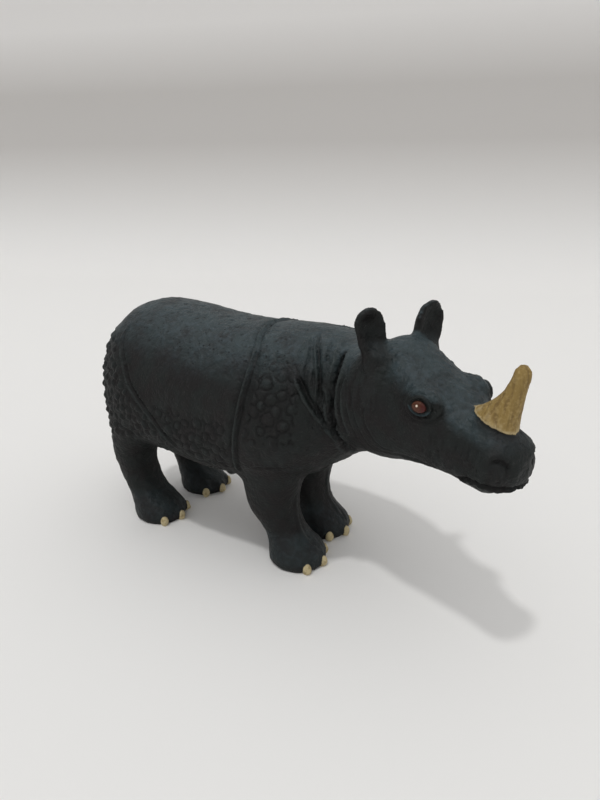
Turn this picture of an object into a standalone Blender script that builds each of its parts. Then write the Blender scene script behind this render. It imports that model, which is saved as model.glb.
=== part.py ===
"""One-horned rhinoceros figurine, moulded in one piece of soft rubber, standing with its head turned right.

Metres, +Z up. The animal faces +X and its left side is +Y. The origin is on the ground under the middle of
its box. Apart from the sizes just below, every place and size is a share of the height of the back, so the
pose and the carving hold at any size. Places on the animal are given as (along, side, up): along its spine
from midway between its fore and hind feet, sideways from the spine, and above the ground. The spine turns
with the neck.
"""

import math
from dataclasses import dataclass

import bmesh
import bpy
import numpy as np
from mathutils import Matrix, Vector
from mathutils.bvhtree import BVHTree

# Driving sizes
BACK_HEIGHT = 0.100
HEAD_TURN = math.radians(27.4)

# Stance: fore and hind feet apart, left and right feet apart, how far the left fore foot stands behind the
# right one, the heights over which that difference fades, and how much is cut off the soles
WHEELBASE = 0.754
HIND_TRACK = 0.326
FRONT_TRACK = 0.270
LEFT_FORE_SETBACK = 0.024
SETBACK_HEIGHTS = (0.10, 0.34)
SOLE_TRIM = 0.006

# Mesh finish: grain and smoothing rounds of the two skins, points round each ring, rings along the legs and
# the smaller parts, and triangles in the finished solid
BODY_VOXEL = 0.0120
BODY_RELAX = 6
SKIN_VOXEL = 0.0085
SKIN_RELAX = 3
RING_POINTS = 40
LEG_RINGS = 36
SMALL_RINGS = 24
TRIANGLES = 9500

# Rubber, as its colour shows on the photograph's mid tones
RUBBER_COLOUR = (0.052, 0.060, 0.058, 1.0)
RUBBER_ROUGHNESS = 0.55

# Trunk and head in one run from rump to nose: place along, top, bottom, half width, height of the widest part
TRUNK = (
    (-0.700, 0.955, 0.420, 0.268, 0.66),
    (-0.560, 0.998, 0.375, 0.290, 0.64),
    (-0.420, 1.018, 0.345, 0.312, 0.62),
    (-0.250, 1.010, 0.335, 0.325, 0.60),
    (-0.020, 0.985, 0.315, 0.335, 0.58),
    (0.180, 0.980, 0.315, 0.325, 0.58),
    (0.340, 0.990, 0.345, 0.305, 0.60),
    (0.470, 0.985, 0.405, 0.265, 0.65),
    (0.600, 0.970, 0.485, 0.215, 0.72),
    (0.720, 0.985, 0.552, 0.185, 0.77),
    (0.825, 1.025, 0.583, 0.176, 0.78),
    (0.930, 0.985, 0.615, 0.165, 0.78),
    (1.040, 0.930, 0.635, 0.146, 0.79),
    (1.120, 0.890, 0.640, 0.122, 0.77),
    (1.200, 0.860, 0.637, 0.108, 0.76),
    (1.270, 0.842, 0.637, 0.104, 0.75),
    (1.335, 0.820, 0.655, 0.098, 0.74),
)
RUMP_CAP = 0.31
NOSE_CAP = 0.055
TRUNK_SQUARENESS = 2.3
BEND_START = 0.43
BEND_END = 0.70

# Legs from the sole up: height, place ahead of and outside the foot's middle, half length, half width
HIND_LEG = (
    (0.000, -0.002, 0.000, 0.114, 0.112),
    (0.025, -0.002, 0.000, 0.119, 0.117),
    (0.070, -0.015, 0.000, 0.109, 0.112),
    (0.130, -0.061, 0.002, 0.081, 0.096),
    (0.220, -0.112, 0.004, 0.078, 0.094),
    (0.320, -0.129, 0.004, 0.090, 0.108),
    (0.430, -0.092, 0.000, 0.119, 0.128),
    (0.560, -0.066, -0.010, 0.162, 0.140),
    (0.720, -0.080, -0.030, 0.190, 0.120),
    (0.850, -0.080, -0.060, 0.140, 0.080),
)
FRONT_LEG = (
    (0.000, 0.000, 0.000, 0.116, 0.113),
    (0.025, 0.000, 0.000, 0.123, 0.119),
    (0.075, -0.008, 0.000, 0.114, 0.111),
    (0.130, -0.044, 0.002, 0.088, 0.092),
    (0.220, -0.105, 0.004, 0.105, 0.098),
    (0.320, -0.118, 0.006, 0.122, 0.108),
    (0.430, -0.105, 0.006, 0.140, 0.120),
    (0.560, -0.070, 0.000, 0.150, 0.130),
    (0.720, -0.010, -0.020, 0.160, 0.110),
    (0.850, 0.000, -0.050, 0.110, 0.070),
)
LEG_SQUARENESS = 2.15
LEG_TOP_CAP = 0.12

# Toes and nails, round each foot's middle: angles outward from straight ahead, distance out, and half sizes
# of each (outward, across, up)
TOE_ANGLES = (-48, -4, 40)
TOE_OUT = 0.090
TOE_UP = 0.031
TOE_RADII = (0.041, 0.037, 0.041)
NAIL_OUT = 0.122
NAIL_UP = 0.031
NAIL_RADII = (0.013, 0.018, 0.030)
NAIL_LEAN = math.radians(20)

# Head: brows and eyes at each side, a horn on the nose and two ears
BROW = (1.022, 0.112, 0.884)
BROW_RADII = (0.064, 0.045, 0.044)
EYE = (1.038, 0.130, 0.868)
EYE_RADIUS = 0.029
HORN_BASE = (1.212, 0.0, 0.835)
HORN_TIP = (1.298, 0.0, 1.040)
HORN_WIDTHS = (
    (0.00, 0.074, 0.064),
    (0.12, 0.062, 0.056),
    (0.30, 0.045, 0.044),
    (0.55, 0.033, 0.033),
    (0.80, 0.026, 0.026),
    (1.00, 0.021, 0.021),
)
HORN_CAP = 0.10
HORN_BOW = 0.015
EAR_BASE = (0.815, 0.112, 0.930)
EAR_TIP = (0.800, 0.156, 1.132)
EAR_WIDTHS = (
    (0.00, 0.054, 0.048),
    (0.30, 0.050, 0.042),
    (0.60, 0.056, 0.040),
    (0.80, 0.056, 0.036),
    (1.00, 0.040, 0.026),
)
EAR_CAP = 0.22
EAR_HOLLOW = 1.35
EAR_FACES = math.radians(2)

# Tail, lying down the cleft of the rump: place along, height and half thickness of each station
TAIL = (
    (-0.640, 0.860, 0.044),
    (-0.696, 0.790, 0.036),
    (-0.712, 0.700, 0.028),
    (-0.706, 0.610, 0.024),
    (-0.692, 0.530, 0.025),
    (-0.684, 0.480, 0.030),
)


@dataclass(frozen=True)
class Fold:
    """A crease along a path on the skin, given for the left side and mirrored to the right.

    bead is the height of the raised line, groove the depth of the crease beside it, ledge how far the skin on
    the bead's far side stands over the skin on the groove's side, and width half the width of bead or groove.
    The groove lies ahead of or above the bead when ahead is 1, and behind or below it when ahead is -1. fades
    says how long the fold takes to die out at its two ends.
    """

    path: tuple
    bead: float = 0.007
    groove: float = 0.011
    ledge: float = 0.005
    width: float = 0.012
    ahead: int = 1
    fades: tuple = (0.06, 0.08)


FOLDS = (
    # edge of the shoulder plate, over the back and down both flanks
    Fold(
        ((0.200, 0.0, 0.983), (0.218, 0.134, 0.957), (0.250, 0.222, 0.900), (0.256, 0.273, 0.819),
         (0.241, 0.309, 0.709), (0.218, 0.321, 0.607), (0.204, 0.320, 0.541), (0.160, 0.272, 0.425)),
        ahead=-1,
        fades=(0.0, 0.08),
    ),
    # edge of the haunch plate, from the rump down to the flank
    Fold(
        ((-0.345, 0.100, 1.000), (-0.378, 0.200, 0.950), (-0.408, 0.255, 0.885), (-0.398, 0.285, 0.800),
         (-0.327, 0.316, 0.689), (-0.254, 0.324, 0.608), (-0.166, 0.325, 0.532), (-0.070, 0.305, 0.455)),
    ),
    # lapel from the shoulder down to the throat
    Fold(
        ((0.444, 0.238, 0.834), (0.525, 0.236, 0.767), (0.612, 0.212, 0.701), (0.688, 0.159, 0.629)),
        ledge=0.006,
        fades=(0.14, 0.08),
    ),
    # deep groove behind the ear and cheek
    Fold(
        ((0.641, 0.104, 0.948), (0.680, 0.170, 0.876), (0.688, 0.190, 0.789), (0.704, 0.181, 0.698),
         (0.674, 0.112, 0.572)),
        bead=0.008,
        groove=0.016,
        ledge=0.008,
        width=0.013,
        ahead=-1,
    ),
    # fine crease between lapel and nape
    Fold(
        ((0.500, 0.125, 0.952), (0.520, 0.186, 0.893), (0.531, 0.218, 0.827)),
        bead=0.004,
        groove=0.007,
    ),
    # arc of the cheek
    Fold(
        ((0.731, 0.182, 0.801), (0.755, 0.175, 0.714), (0.800, 0.150, 0.662)),
        bead=0.004,
        groove=0.008,
        ahead=-1,
    ),
    # top of the fore leg, under the shoulder plate
    Fold(
        ((0.215, 0.264, 0.412), (0.300, 0.240, 0.414), (0.388, 0.209, 0.420), (0.450, 0.120, 0.440)),
        groove=0.012,
        ahead=-1,
    ),
    # mouth, meeting its other half at the front of the nose
    Fold(
        ((1.380, 0.0, 0.712), (1.350, 0.050, 0.710), (1.297, 0.090, 0.702), (1.241, 0.098, 0.692),
         (1.205, 0.094, 0.688)),
        bead=0.002,
        groove=0.013,
        ledge=0.001,
        fades=(0.0, 0.04),
    ),
)
FOLD_STEPS = 90

# A fold's section: how many widths its groove lies from its bead, how many widths off the skin it still
# works, and how far its ledge reaches in all and before it has fallen to about a third
GROOVE_PLACE = 1.6
FOLD_DEPTH = 3.0
LEDGE_REACH = 0.080
LEDGE_FALL = 0.027

# Dents and swellings, mirrored to the right: place, radius and how far the skin moves out
DENTS = (
    # nostril
    ((1.330, 0.062, 0.775), 0.024, -0.022),
    # upper and lower lid
    ((1.050, 0.140, 0.912), 0.020, 0.010),
    ((1.062, 0.140, 0.838), 0.020, 0.006),
    # temple
    ((0.930, 0.160, 0.850), 0.060, -0.012),
    # shoulder, haunch and the saddle between them
    ((0.380, 0.290, 0.640), 0.170, 0.012),
    ((-0.450, 0.300, 0.600), 0.150, 0.010),
    ((0.020, 0.330, 0.620), 0.150, -0.012),
    # side of the muzzle, behind the nostril
    ((1.200, 0.100, 0.800), 0.050, -0.010),
)

# The groove round each eye: its radius, depth and half width
EYE_GROOVE_RADIUS = 0.034
EYE_GROOVE = 0.010
EYE_GROOVE_WIDTH = 0.007


def smooth_step(value, start, end):
    """0 up to start, 1 from end on, and a smooth rise between them, or a sharp one if they are the same."""
    t = np.clip((value - start) / max(end - start, 1e-9), 0.0, 1.0)
    return t * t * (3 - 2 * t)


def flowing(rows, at):
    """Every column of a table of stations, read at a place along a smooth curve through its rows."""
    table = np.array(rows, float)
    places = table[:, 0]
    values = table[:, 1:]
    slopes = np.gradient(values, places, axis=0)
    at = float(np.clip(at, places[0], places[-1]))
    row = int(np.clip(np.searchsorted(places, at) - 1, 0, len(places) - 2))
    span = places[row + 1] - places[row]
    t = (at - places[row]) / span
    return (
        (2 * t**3 - 3 * t**2 + 1) * values[row]
        + (t**3 - 2 * t**2 + t) * span * slopes[row]
        + (3 * t**2 - 2 * t**3) * values[row + 1]
        + (t**3 - t**2) * span * slopes[row + 1]
    )


def spine():
    """The line that the trunk follows, seen from above: places along it, points and directions."""
    along = np.linspace(TRUNK[0][0], TRUNK[-1][0], 400)
    turn = -HEAD_TURN * smooth_step(along, BEND_START, BEND_END)
    step = along[1] - along[0]
    x = along[0] + np.concatenate([[0], np.cumsum(np.cos(turn[:-1]) * step)])
    y = np.concatenate([[0], np.cumsum(np.sin(turn[:-1]) * step)])
    return along, np.stack([x, y], 1), turn


SPINE_ALONG, SPINE_POINTS, SPINE_TURN = spine()


def from_spine(along, side, up):
    """A place on the animal, as a point in metres. Beyond its ends the spine runs straight on."""
    inside = np.clip(along, SPINE_ALONG[0], SPINE_ALONG[-1])
    turn = np.interp(inside, SPINE_ALONG, SPINE_TURN)
    x = np.interp(inside, SPINE_ALONG, SPINE_POINTS[:, 0]) + (along - inside) * math.cos(turn)
    y = np.interp(inside, SPINE_ALONG, SPINE_POINTS[:, 1]) + (along - inside) * math.sin(turn)
    return Vector((x - side * math.sin(turn), y + side * math.cos(turn), up)) * BACK_HEIGHT


def oval(angle, half_width, above, below, squareness):
    """A point of a squared oval: sideways and upwards offsets from its widest place. Angle 0 is the top."""
    side = math.sin(angle)
    up = math.cos(angle)
    power = 2 / squareness
    reach = above if up > 0 else below
    return (
        math.copysign(abs(side) ** power, side) * half_width,
        math.copysign(abs(up) ** power, up) * reach,
    )


def cap_share(place, start, end, start_cap, end_cap, power=2.2):
    """How full a section is near the rounded ends of a run."""
    full = 1.0
    if place < start + start_cap:
        full = (1 - ((start + start_cap - place) / start_cap) ** power) ** (1 / power)
    elif place > end - end_cap:
        full = (1 - ((place - end + end_cap) / end_cap) ** power) ** (1 / power)
    return max(full, 0.03)


def ring_angles():
    """The angles of a ring's points."""
    return [2 * math.pi * i / RING_POINTS for i in range(RING_POINTS)]


def add_object(name, mesh):
    """Puts a bmesh into the scene as an object."""
    data = bpy.data.meshes.new(name)
    mesh.to_mesh(data)
    mesh.free()
    thing = bpy.data.objects.new(name, data)
    bpy.context.scene.collection.objects.link(thing)
    return thing


def loft(name, rings):
    """A closed skin over a run of rings with equally many points."""
    mesh = bmesh.new()
    loops = [[mesh.verts.new(point) for point in ring] for ring in rings]
    for before, after in zip(loops, loops[1:]):
        for i, j in zip(range(RING_POINTS), [*range(1, RING_POINTS), 0]):
            mesh.faces.new((before[i], before[j], after[j], after[i]))
    mesh.faces.new(loops[0][::-1])
    mesh.faces.new(loops[-1])
    bmesh.ops.recalc_face_normals(mesh, faces=mesh.faces)
    return add_object(name, mesh)


def ball(name, centre, radii, heading=0.0, lean=0.0):
    """An ellipsoid of flesh, its first radius along its heading and its last one upright or leaning out."""
    mesh = bmesh.new()
    bmesh.ops.create_uvsphere(mesh, u_segments=24, v_segments=14, radius=1)
    placed = Matrix.Translation(centre) @ Matrix.Rotation(heading, 4, "Z") @ Matrix.Rotation(lean, 4, "Y")
    sized = placed @ Matrix.Diagonal((*(r * BACK_HEIGHT for r in radii), 1))
    bmesh.ops.transform(mesh, matrix=sized, verts=mesh.verts)
    return add_object(name, mesh)


def trunk():
    """Rump, barrel, neck and head in one skin along the bent spine."""
    start, end = TRUNK[0][0], TRUNK[-1][0]
    places = np.concatenate(
        [
            start + RUMP_CAP * (1 - np.cos(np.linspace(0, math.pi / 2, 14)))[:-1],
            np.linspace(start + RUMP_CAP, end - NOSE_CAP, 60),
            end - NOSE_CAP * (1 - np.sin(np.linspace(0, math.pi / 2, 8)))[1:],
        ]
    )
    rings = []
    for place in places:
        top, bottom, half, wide = flowing(TRUNK, place)
        full = cap_share(place, start, end, RUMP_CAP, NOSE_CAP)
        ring = []
        for angle in ring_angles():
            above = (top - wide) * full
            below = (wide - bottom) * full
            side, up = oval(angle, half * full, above, below, TRUNK_SQUARENESS)
            ring.append(from_spine(place, side, wide + up))
        rings.append(ring)
    return loft("trunk", rings)


def feet():
    """Each foot's word, leg profile, middle on the ground in metres, side (1 left, -1 right) and setback."""
    for side, word in ((1, "left"), (-1, "right")):
        setback = LEFT_FORE_SETBACK if side > 0 else 0.0
        hind = Vector((-WHEELBASE / 2, side * HIND_TRACK / 2, 0)) * BACK_HEIGHT
        fore = Vector((WHEELBASE / 2 - setback, side * FRONT_TRACK / 2, 0)) * BACK_HEIGHT
        yield f"hind_{word}", HIND_LEG, hind, side, 0.0
        yield f"fore_{word}", FRONT_LEG, fore, side, setback


def leg(name, profile, foot, side, setback):
    """One leg, as a run of level ovals from the sole up into the body. Its setback is gone at the knee."""
    lowest, highest = profile[0][0], profile[-1][0]
    rings = []
    for height in np.linspace(lowest, highest, LEG_RINGS):
        ahead, outward, length, width = flowing(profile, height)
        ahead += setback * smooth_step(height, *SETBACK_HEIGHTS)
        full = cap_share(height, lowest - 1, highest, 1, LEG_TOP_CAP)
        ring = []
        for angle in ring_angles():
            across, fore = oval(angle, width * full, length * full, length * full, LEG_SQUARENESS)
            place = Vector((ahead + fore, side * (outward + across), height))
            ring.append(foot + place * BACK_HEIGHT)
        rings.append(ring)
    return loft(name, rings)


def round_foot(foot, side, angle, out, up):
    """The heading at an angle round a foot, and the place that far out and up from its middle."""
    heading = side * math.radians(angle)
    return heading, foot + Vector((math.cos(heading) * out, math.sin(heading) * out, up)) * BACK_HEIGHT


def ear(name, side):
    """One ear, a cupped paddle whose hollow faces forwards."""
    base = from_spine(EAR_BASE[0], side * EAR_BASE[1], EAR_BASE[2])
    tip = from_spine(EAR_TIP[0], side * EAR_TIP[1], EAR_TIP[2])
    axis = (tip - base).normalized()
    heading = -HEAD_TURN + side * EAR_FACES
    front = Vector((math.cos(heading), math.sin(heading), 0))
    front = (front - axis * front.dot(axis)).normalized()
    across = axis.cross(front)
    rings = []
    for share in np.linspace(0, 1, SMALL_RINGS):
        width, thick = flowing(EAR_WIDTHS, share)
        full = cap_share(share, -1, 1, 1, EAR_CAP)
        hollow = EAR_HOLLOW * smooth_step(share, 0.22, 0.5) * (1 - smooth_step(share, 0.78, 0.97))
        ring = []
        for angle in ring_angles():
            depth = -math.cos(angle) * thick
            if depth > 0:
                depth *= 1 - hollow * abs(math.cos(angle)) ** 0.5
            offset = across * math.sin(angle) * width + front * depth
            ring.append(base + (tip - base) * share + offset * full * BACK_HEIGHT)
        rings.append(ring)
    return loft(name, rings)


def horn():
    """The nose horn, a broad-footed cone that leans forwards and bows a little."""
    base = from_spine(*HORN_BASE)
    tip = from_spine(*HORN_TIP)
    axis = (tip - base).normalized()
    ahead = Vector((math.cos(HEAD_TURN), -math.sin(HEAD_TURN), 0))
    ahead = (ahead - axis * ahead.dot(axis)).normalized()
    across = axis.cross(ahead)
    rings = []
    for share in np.linspace(0, 1, SMALL_RINGS):
        length, width = flowing(HORN_WIDTHS, share)
        full = cap_share(share, -1, 1, 1, HORN_CAP)
        middle = base + (tip - base) * share + ahead * HORN_BOW * 4 * share * (1 - share) * BACK_HEIGHT
        ring = []
        for angle in ring_angles():
            offset = ahead * math.cos(angle) * length + across * math.sin(angle) * width
            ring.append(middle + offset * full * BACK_HEIGHT)
        rings.append(ring)
    return loft("horn", rings)


def tail():
    """A short tail, hanging close against the rump."""
    rings = []
    stations = [(i, *row) for i, row in enumerate(TAIL)]
    for step in np.linspace(0, len(TAIL) - 1, SMALL_RINGS):
        along, up, thick = flowing(stations, step)
        full = cap_share(step, -1, len(TAIL) - 1, 1, 0.5)
        ring = []
        for angle in ring_angles():
            offset = Vector((math.cos(angle), math.sin(angle), 0)) * thick * full * BACK_HEIGHT
            ring.append(from_spine(along, 0, up) + offset)
        rings.append(ring)
    return loft("tail", rings)


def applied(thing):
    """Replaces an object's mesh with what its modifiers make of it."""
    graph = bpy.context.evaluated_depsgraph_get()
    mesh = bpy.data.meshes.new_from_object(thing.evaluated_get(graph))
    thing.modifiers.clear()
    thing.data = mesh
    return thing


def fused(name, things, voxel, relax):
    """One watertight skin around overlapping forms, with the joins between them relaxed."""
    mesh = bmesh.new()
    for thing in things:
        mesh.from_mesh(thing.data)
        bpy.data.objects.remove(thing)
    body = add_object(name, mesh)
    remesh = body.modifiers.new("skin", "REMESH")
    remesh.mode = "VOXEL"
    remesh.voxel_size = voxel * BACK_HEIGHT
    smooth = body.modifiers.new("relax", "SMOOTH")
    smooth.factor = 0.5
    smooth.iterations = relax
    return applied(body)


def traced(path, side, tree):
    """A fold's path laid on the skin: its points, the skin's outward directions and the path's directions."""
    stations = [(i, *place) for i, place in enumerate(path)]
    if path[0][1] == 0:
        mirrored = [(-i, along, -across, up) for i, along, across, up in stations[:0:-1]]
        stations = mirrored + stations
    points, normals = [], []
    for step in np.linspace(stations[0][0], stations[-1][0], FOLD_STEPS):
        along, across, up = flowing(stations, step)
        point, normal, _, _ = tree.find_nearest(from_spine(along, side * across, up))
        points.append(point)
        normals.append(normal)
    points = np.array(points)
    directions = np.gradient(points, axis=0)
    directions /= np.linalg.norm(directions, axis=1, keepdims=True)
    return points, np.array(normals), directions


def fold_moves(fold, side, tree, skin):
    """How far each point of the skin moves out for one fold."""
    points, normals, directions = traced(fold.path, side, tree)
    reach = (LEDGE_REACH + 4 * fold.width) * BACK_HEIGHT
    near = np.all((skin > points.min(0) - reach) & (skin < points.max(0) + reach), axis=1)
    offsets = skin[near][:, None, :] - points[None]
    distances = np.linalg.norm(offsets, axis=2)
    closest = distances.argmin(1)
    rows = np.arange(len(closest))
    sideways = np.cross(normals, directions)[closest]
    signed = np.sum(offsets[rows, closest] * sideways, axis=1) * -side * fold.ahead
    lift = np.sum(offsets[rows, closest] * normals[closest], axis=1)

    # along the path, the fold fades at its two ends
    lengths = np.concatenate([[0], np.cumsum(np.linalg.norm(np.diff(points, axis=0), axis=1))])
    place = lengths[closest]
    both_sides = fold.path[0][1] == 0
    start_fade = fold.fades[1] if both_sides else fold.fades[0]
    strength = smooth_step(place, 0, start_fade * BACK_HEIGHT)
    strength *= 1 - smooth_step(place, lengths[-1] - fold.fades[1] * BACK_HEIGHT, lengths[-1])
    width = fold.width * BACK_HEIGHT
    strength *= np.exp(-((lift / (FOLD_DEPTH * width)) ** 2))

    # across the path, the bead with the groove on one side of it and the ledge on the other
    bead = fold.bead * np.exp(-((signed / width) ** 2))
    groove = -fold.groove * np.exp(-(((signed - GROOVE_PLACE * width) / width) ** 2))
    ledge = fold.ledge * (1 - smooth_step(signed, -width, width))
    ledge *= np.exp(signed.clip(max=0) / (LEDGE_FALL * BACK_HEIGHT))
    moves = np.zeros(len(skin))
    moves[near] = (bead + groove + ledge) * strength * BACK_HEIGHT
    return moves


def dent_moves(skin):
    """How far each point of the skin moves out for the dents, swellings and the grooves round the eyes."""
    moves = np.zeros(len(skin))
    for side in (1, -1):
        for (along, across, up), radius, out in DENTS:
            centre = np.array(from_spine(along, side * across, up))
            distance = np.linalg.norm(skin - centre, axis=1) / (radius * BACK_HEIGHT)
            moves += out * BACK_HEIGHT * np.exp(-(distance**2))
        eye = np.array(from_spine(EYE[0], side * EYE[1], EYE[2]))
        distance = np.linalg.norm(skin - eye, axis=1) / BACK_HEIGHT
        from_groove = (distance - EYE_GROOVE_RADIUS) / EYE_GROOVE_WIDTH
        moves -= EYE_GROOVE * BACK_HEIGHT * np.exp(-(from_groove**2))
    return moves


def carve(thing):
    """Cuts the folds, mouth, nostrils and lids into the skin by moving its points in and out."""
    graph = bpy.context.evaluated_depsgraph_get()
    tree = BVHTree.FromObject(thing, graph)
    mesh = thing.data
    count = len(mesh.vertices)
    skin = np.empty(count * 3)
    mesh.vertices.foreach_get("co", skin)
    skin = skin.reshape(count, 3)
    outward = np.empty(count * 3)
    mesh.vertex_normals.foreach_get("vector", outward)
    moves = dent_moves(skin)
    for fold in FOLDS:
        sides = (1,) if fold.path[0][1] == 0 else (1, -1)
        for side in sides:
            moves += fold_moves(fold, side, tree, skin)
    skin += outward.reshape(count, 3) * moves[:, None]
    mesh.vertices.foreach_set("co", skin.ravel())
    mesh.update()


def thin_out(thing):
    """Lets the solid keep only as many triangles as it is meant to have."""
    thing.data.calc_loop_triangles()
    decimate = thing.modifiers.new("thin out", "DECIMATE")
    decimate.ratio = TRIANGLES / len(thing.data.loop_triangles)
    decimate.use_collapse_triangulate = True
    return applied(thing)


def stand_flat(thing):
    """Cuts the soles flat and stands the figure on the ground, with the middle of its box over the origin."""
    mesh = bmesh.new()
    mesh.from_mesh(thing.data)
    everything = [*mesh.verts, *mesh.edges, *mesh.faces]
    sole = Vector((0, 0, SOLE_TRIM * BACK_HEIGHT))
    cut = bmesh.ops.bisect_plane(mesh, geom=everything, plane_co=sole, plane_no=(0, 0, -1), clear_outer=True)
    rims = [element for element in cut["geom_cut"] if isinstance(element, bmesh.types.BMEdge)]
    bmesh.ops.edgeloop_fill(mesh, edges=rims)
    bmesh.ops.recalc_face_normals(mesh, faces=mesh.faces)
    corners = np.array([vertex.co for vertex in mesh.verts])
    low, high = corners.min(0), corners.max(0)
    middle = Vector(((low[0] + high[0]) / 2, (low[1] + high[1]) / 2, low[2]))
    bmesh.ops.translate(mesh, verts=mesh.verts, vec=-middle)
    mesh.to_mesh(thing.data)
    mesh.free()


def rubber():
    """Dark green-black rubber with a dull gloss."""
    material = bpy.data.materials.new("soft rubber")
    material.use_nodes = True
    shader = material.node_tree.nodes["Principled BSDF"]
    shader.inputs["Base Color"].default_value = RUBBER_COLOUR
    shader.inputs["Roughness"].default_value = RUBBER_ROUGHNESS
    shader.inputs["Metallic"].default_value = 0.0
    return material


def clear_scene():
    """Removes what the startup scene holds."""
    for thing in list(bpy.data.objects):
        bpy.data.objects.remove(thing)


def main():
    """Builds the figurine as one closed solid."""
    clear_scene()
    flesh = [trunk(), tail()]
    nails = []
    for word, profile, foot, side, setback in feet():
        flesh.append(leg(f"{word}_leg", profile, foot, side, setback))
        for angle in TOE_ANGLES:
            heading, place = round_foot(foot, side, angle, TOE_OUT, TOE_UP)
            flesh.append(ball(f"{word}_toe", place, TOE_RADII, heading))
            heading, place = round_foot(foot, side, angle, NAIL_OUT, NAIL_UP)
            nails.append(ball(f"{word}_nail", place, NAIL_RADII, heading, -NAIL_LEAN))
    for side, word in ((1, "left"), (-1, "right")):
        place = from_spine(BROW[0], side * BROW[1], BROW[2])
        flesh.append(ball(f"brow_{word}", place, BROW_RADII, -HEAD_TURN))
    body = fused("body", flesh, BODY_VOXEL, BODY_RELAX)

    parts = [body, horn(), *nails]
    for side, word in ((1, "left"), (-1, "right")):
        place = from_spine(EYE[0], side * EYE[1], EYE[2])
        parts.append(ball(f"eye_{word}", place, [EYE_RADIUS] * 3))
        parts.append(ear(f"ear_{word}", side))
    figure = fused("rhinoceros", parts, SKIN_VOXEL, SKIN_RELAX)
    carve(figure)
    thin_out(figure)
    stand_flat(figure)

    figure.data.name = "rhinoceros"
    figure.data.shade_smooth()
    figure.data.materials.append(rubber())
    collection = bpy.data.collections.new("rhinoceros figurine")
    bpy.context.scene.collection.children.link(collection)
    collection.objects.link(figure)
    bpy.context.scene.collection.objects.unlink(figure)


main()
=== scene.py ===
"""One-horned rhinoceros figurine in soft rubber with a painted horn, nails and eyes, on a plain pale sweep.

It models the figurine's skin again at full detail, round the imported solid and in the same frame: metres,
+Z up, the animal facing +X. Sizes in the classes are millimetres. Places on the animal are along its spine
from midway between its fore and hind feet, sideways from the spine with the animal's left positive, and up
from the ground. The spine turns with the neck.
"""

import logging
import math
from collections.abc import Callable, Iterator, Sequence
from dataclasses import dataclass, field
from enum import Enum

import bmesh
import bpy
import numpy as np
from mathutils import Matrix, Vector, noise
from mathutils.bvhtree import BVHTree
from mathutils.kdtree import KDTree


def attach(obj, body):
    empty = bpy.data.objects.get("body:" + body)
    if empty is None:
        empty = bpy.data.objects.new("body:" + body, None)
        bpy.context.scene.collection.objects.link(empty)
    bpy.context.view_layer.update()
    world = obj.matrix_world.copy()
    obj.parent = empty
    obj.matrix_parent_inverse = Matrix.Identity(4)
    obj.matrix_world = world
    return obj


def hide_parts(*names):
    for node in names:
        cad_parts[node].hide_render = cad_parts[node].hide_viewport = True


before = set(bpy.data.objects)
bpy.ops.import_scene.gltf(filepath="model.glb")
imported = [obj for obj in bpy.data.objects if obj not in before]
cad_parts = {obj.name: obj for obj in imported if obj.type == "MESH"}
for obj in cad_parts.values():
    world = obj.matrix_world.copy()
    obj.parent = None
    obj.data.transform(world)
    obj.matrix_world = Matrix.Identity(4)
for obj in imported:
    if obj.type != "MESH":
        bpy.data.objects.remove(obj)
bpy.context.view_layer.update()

LOG = logging.getLogger("rhinoceros figurine")
MM = 0.001
# stands for any distance in millimetres that is too great to matter
FAR = 9.0
NODE = "rhinoceros"

Place = tuple[float, float, float]
Row = tuple[float, ...]


class Side(Enum):
    """The animal's two sides, each with the sign of its sideways places."""

    LEFT = 1
    RIGHT = -1


def smooth_step(value: np.ndarray | float, start: float, end: float) -> np.ndarray:
    """Rises smoothly from 0 to 1 between two values.

    Args:
        value: Where to read the step.
        start: The last value with 0.
        end: The first value with 1.

    Returns:
        The step at each value.
    """
    t = np.clip((value - start) / (end - start), 0.0, 1.0)
    return t * t * (3 - 2 * t)


def band(value: np.ndarray, low: float, high: float, soft: float) -> np.ndarray:
    """Is 1 between two values and fades out beyond them.

    Args:
        value: Where to read the band.
        low: Its lower end.
        high: Its upper end.
        soft: How far beyond each end it takes to fade.

    Returns:
        The band's strength at each value.
    """
    return smooth_step(value, low - soft, low) * (1 - smooth_step(value, high, high + soft))


def ridge(value: np.ndarray, middle: float, width: float) -> np.ndarray:
    """A rounded ridge of height 1 round a value, width being where it has fallen to about a third."""
    return np.exp(-(((value - middle) / width) ** 2))


def flowing(rows: Sequence[Row], at: float) -> np.ndarray:
    """Reads a table of stations along a smooth curve through its rows.

    Args:
        rows: The table, each row starting with its place.
        at: The place to read.

    Returns:
        The other columns at that place.
    """
    table = np.array(rows, float)
    places = table[:, 0]
    values = table[:, 1:]
    slopes = np.gradient(values, places, axis=0)
    at = float(np.clip(at, places[0], places[-1]))
    row = int(np.clip(np.searchsorted(places, at) - 1, 0, len(places) - 2))
    span = places[row + 1] - places[row]
    t = (at - places[row]) / span
    return (
        (2 * t**3 - 3 * t**2 + 1) * values[row]
        + (t**3 - 2 * t**2 + t) * span * slopes[row]
        + (3 * t**2 - 2 * t**3) * values[row + 1]
        + (t**3 - t**2) * span * slopes[row + 1]
    )


def oval(
    angle: float, half_width: float, above: float, below: float, squareness: float
) -> tuple[float, float]:
    """A point of a squared oval, as its offsets from the widest place.

    Args:
        angle: Where round the oval, with 0 at its top.
        half_width: The oval's half width.
        above: Its reach above the widest place.
        below: Its reach below the widest place.
        squareness: 2 for an ellipse, more for fuller corners.

    Returns:
        The sideways and the upward offset.
    """
    side = math.sin(angle)
    up = math.cos(angle)
    power = 2 / squareness
    reach = above if up > 0 else below
    return (
        math.copysign(abs(side) ** power, side) * half_width,
        math.copysign(abs(up) ** power, up) * reach,
    )


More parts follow.
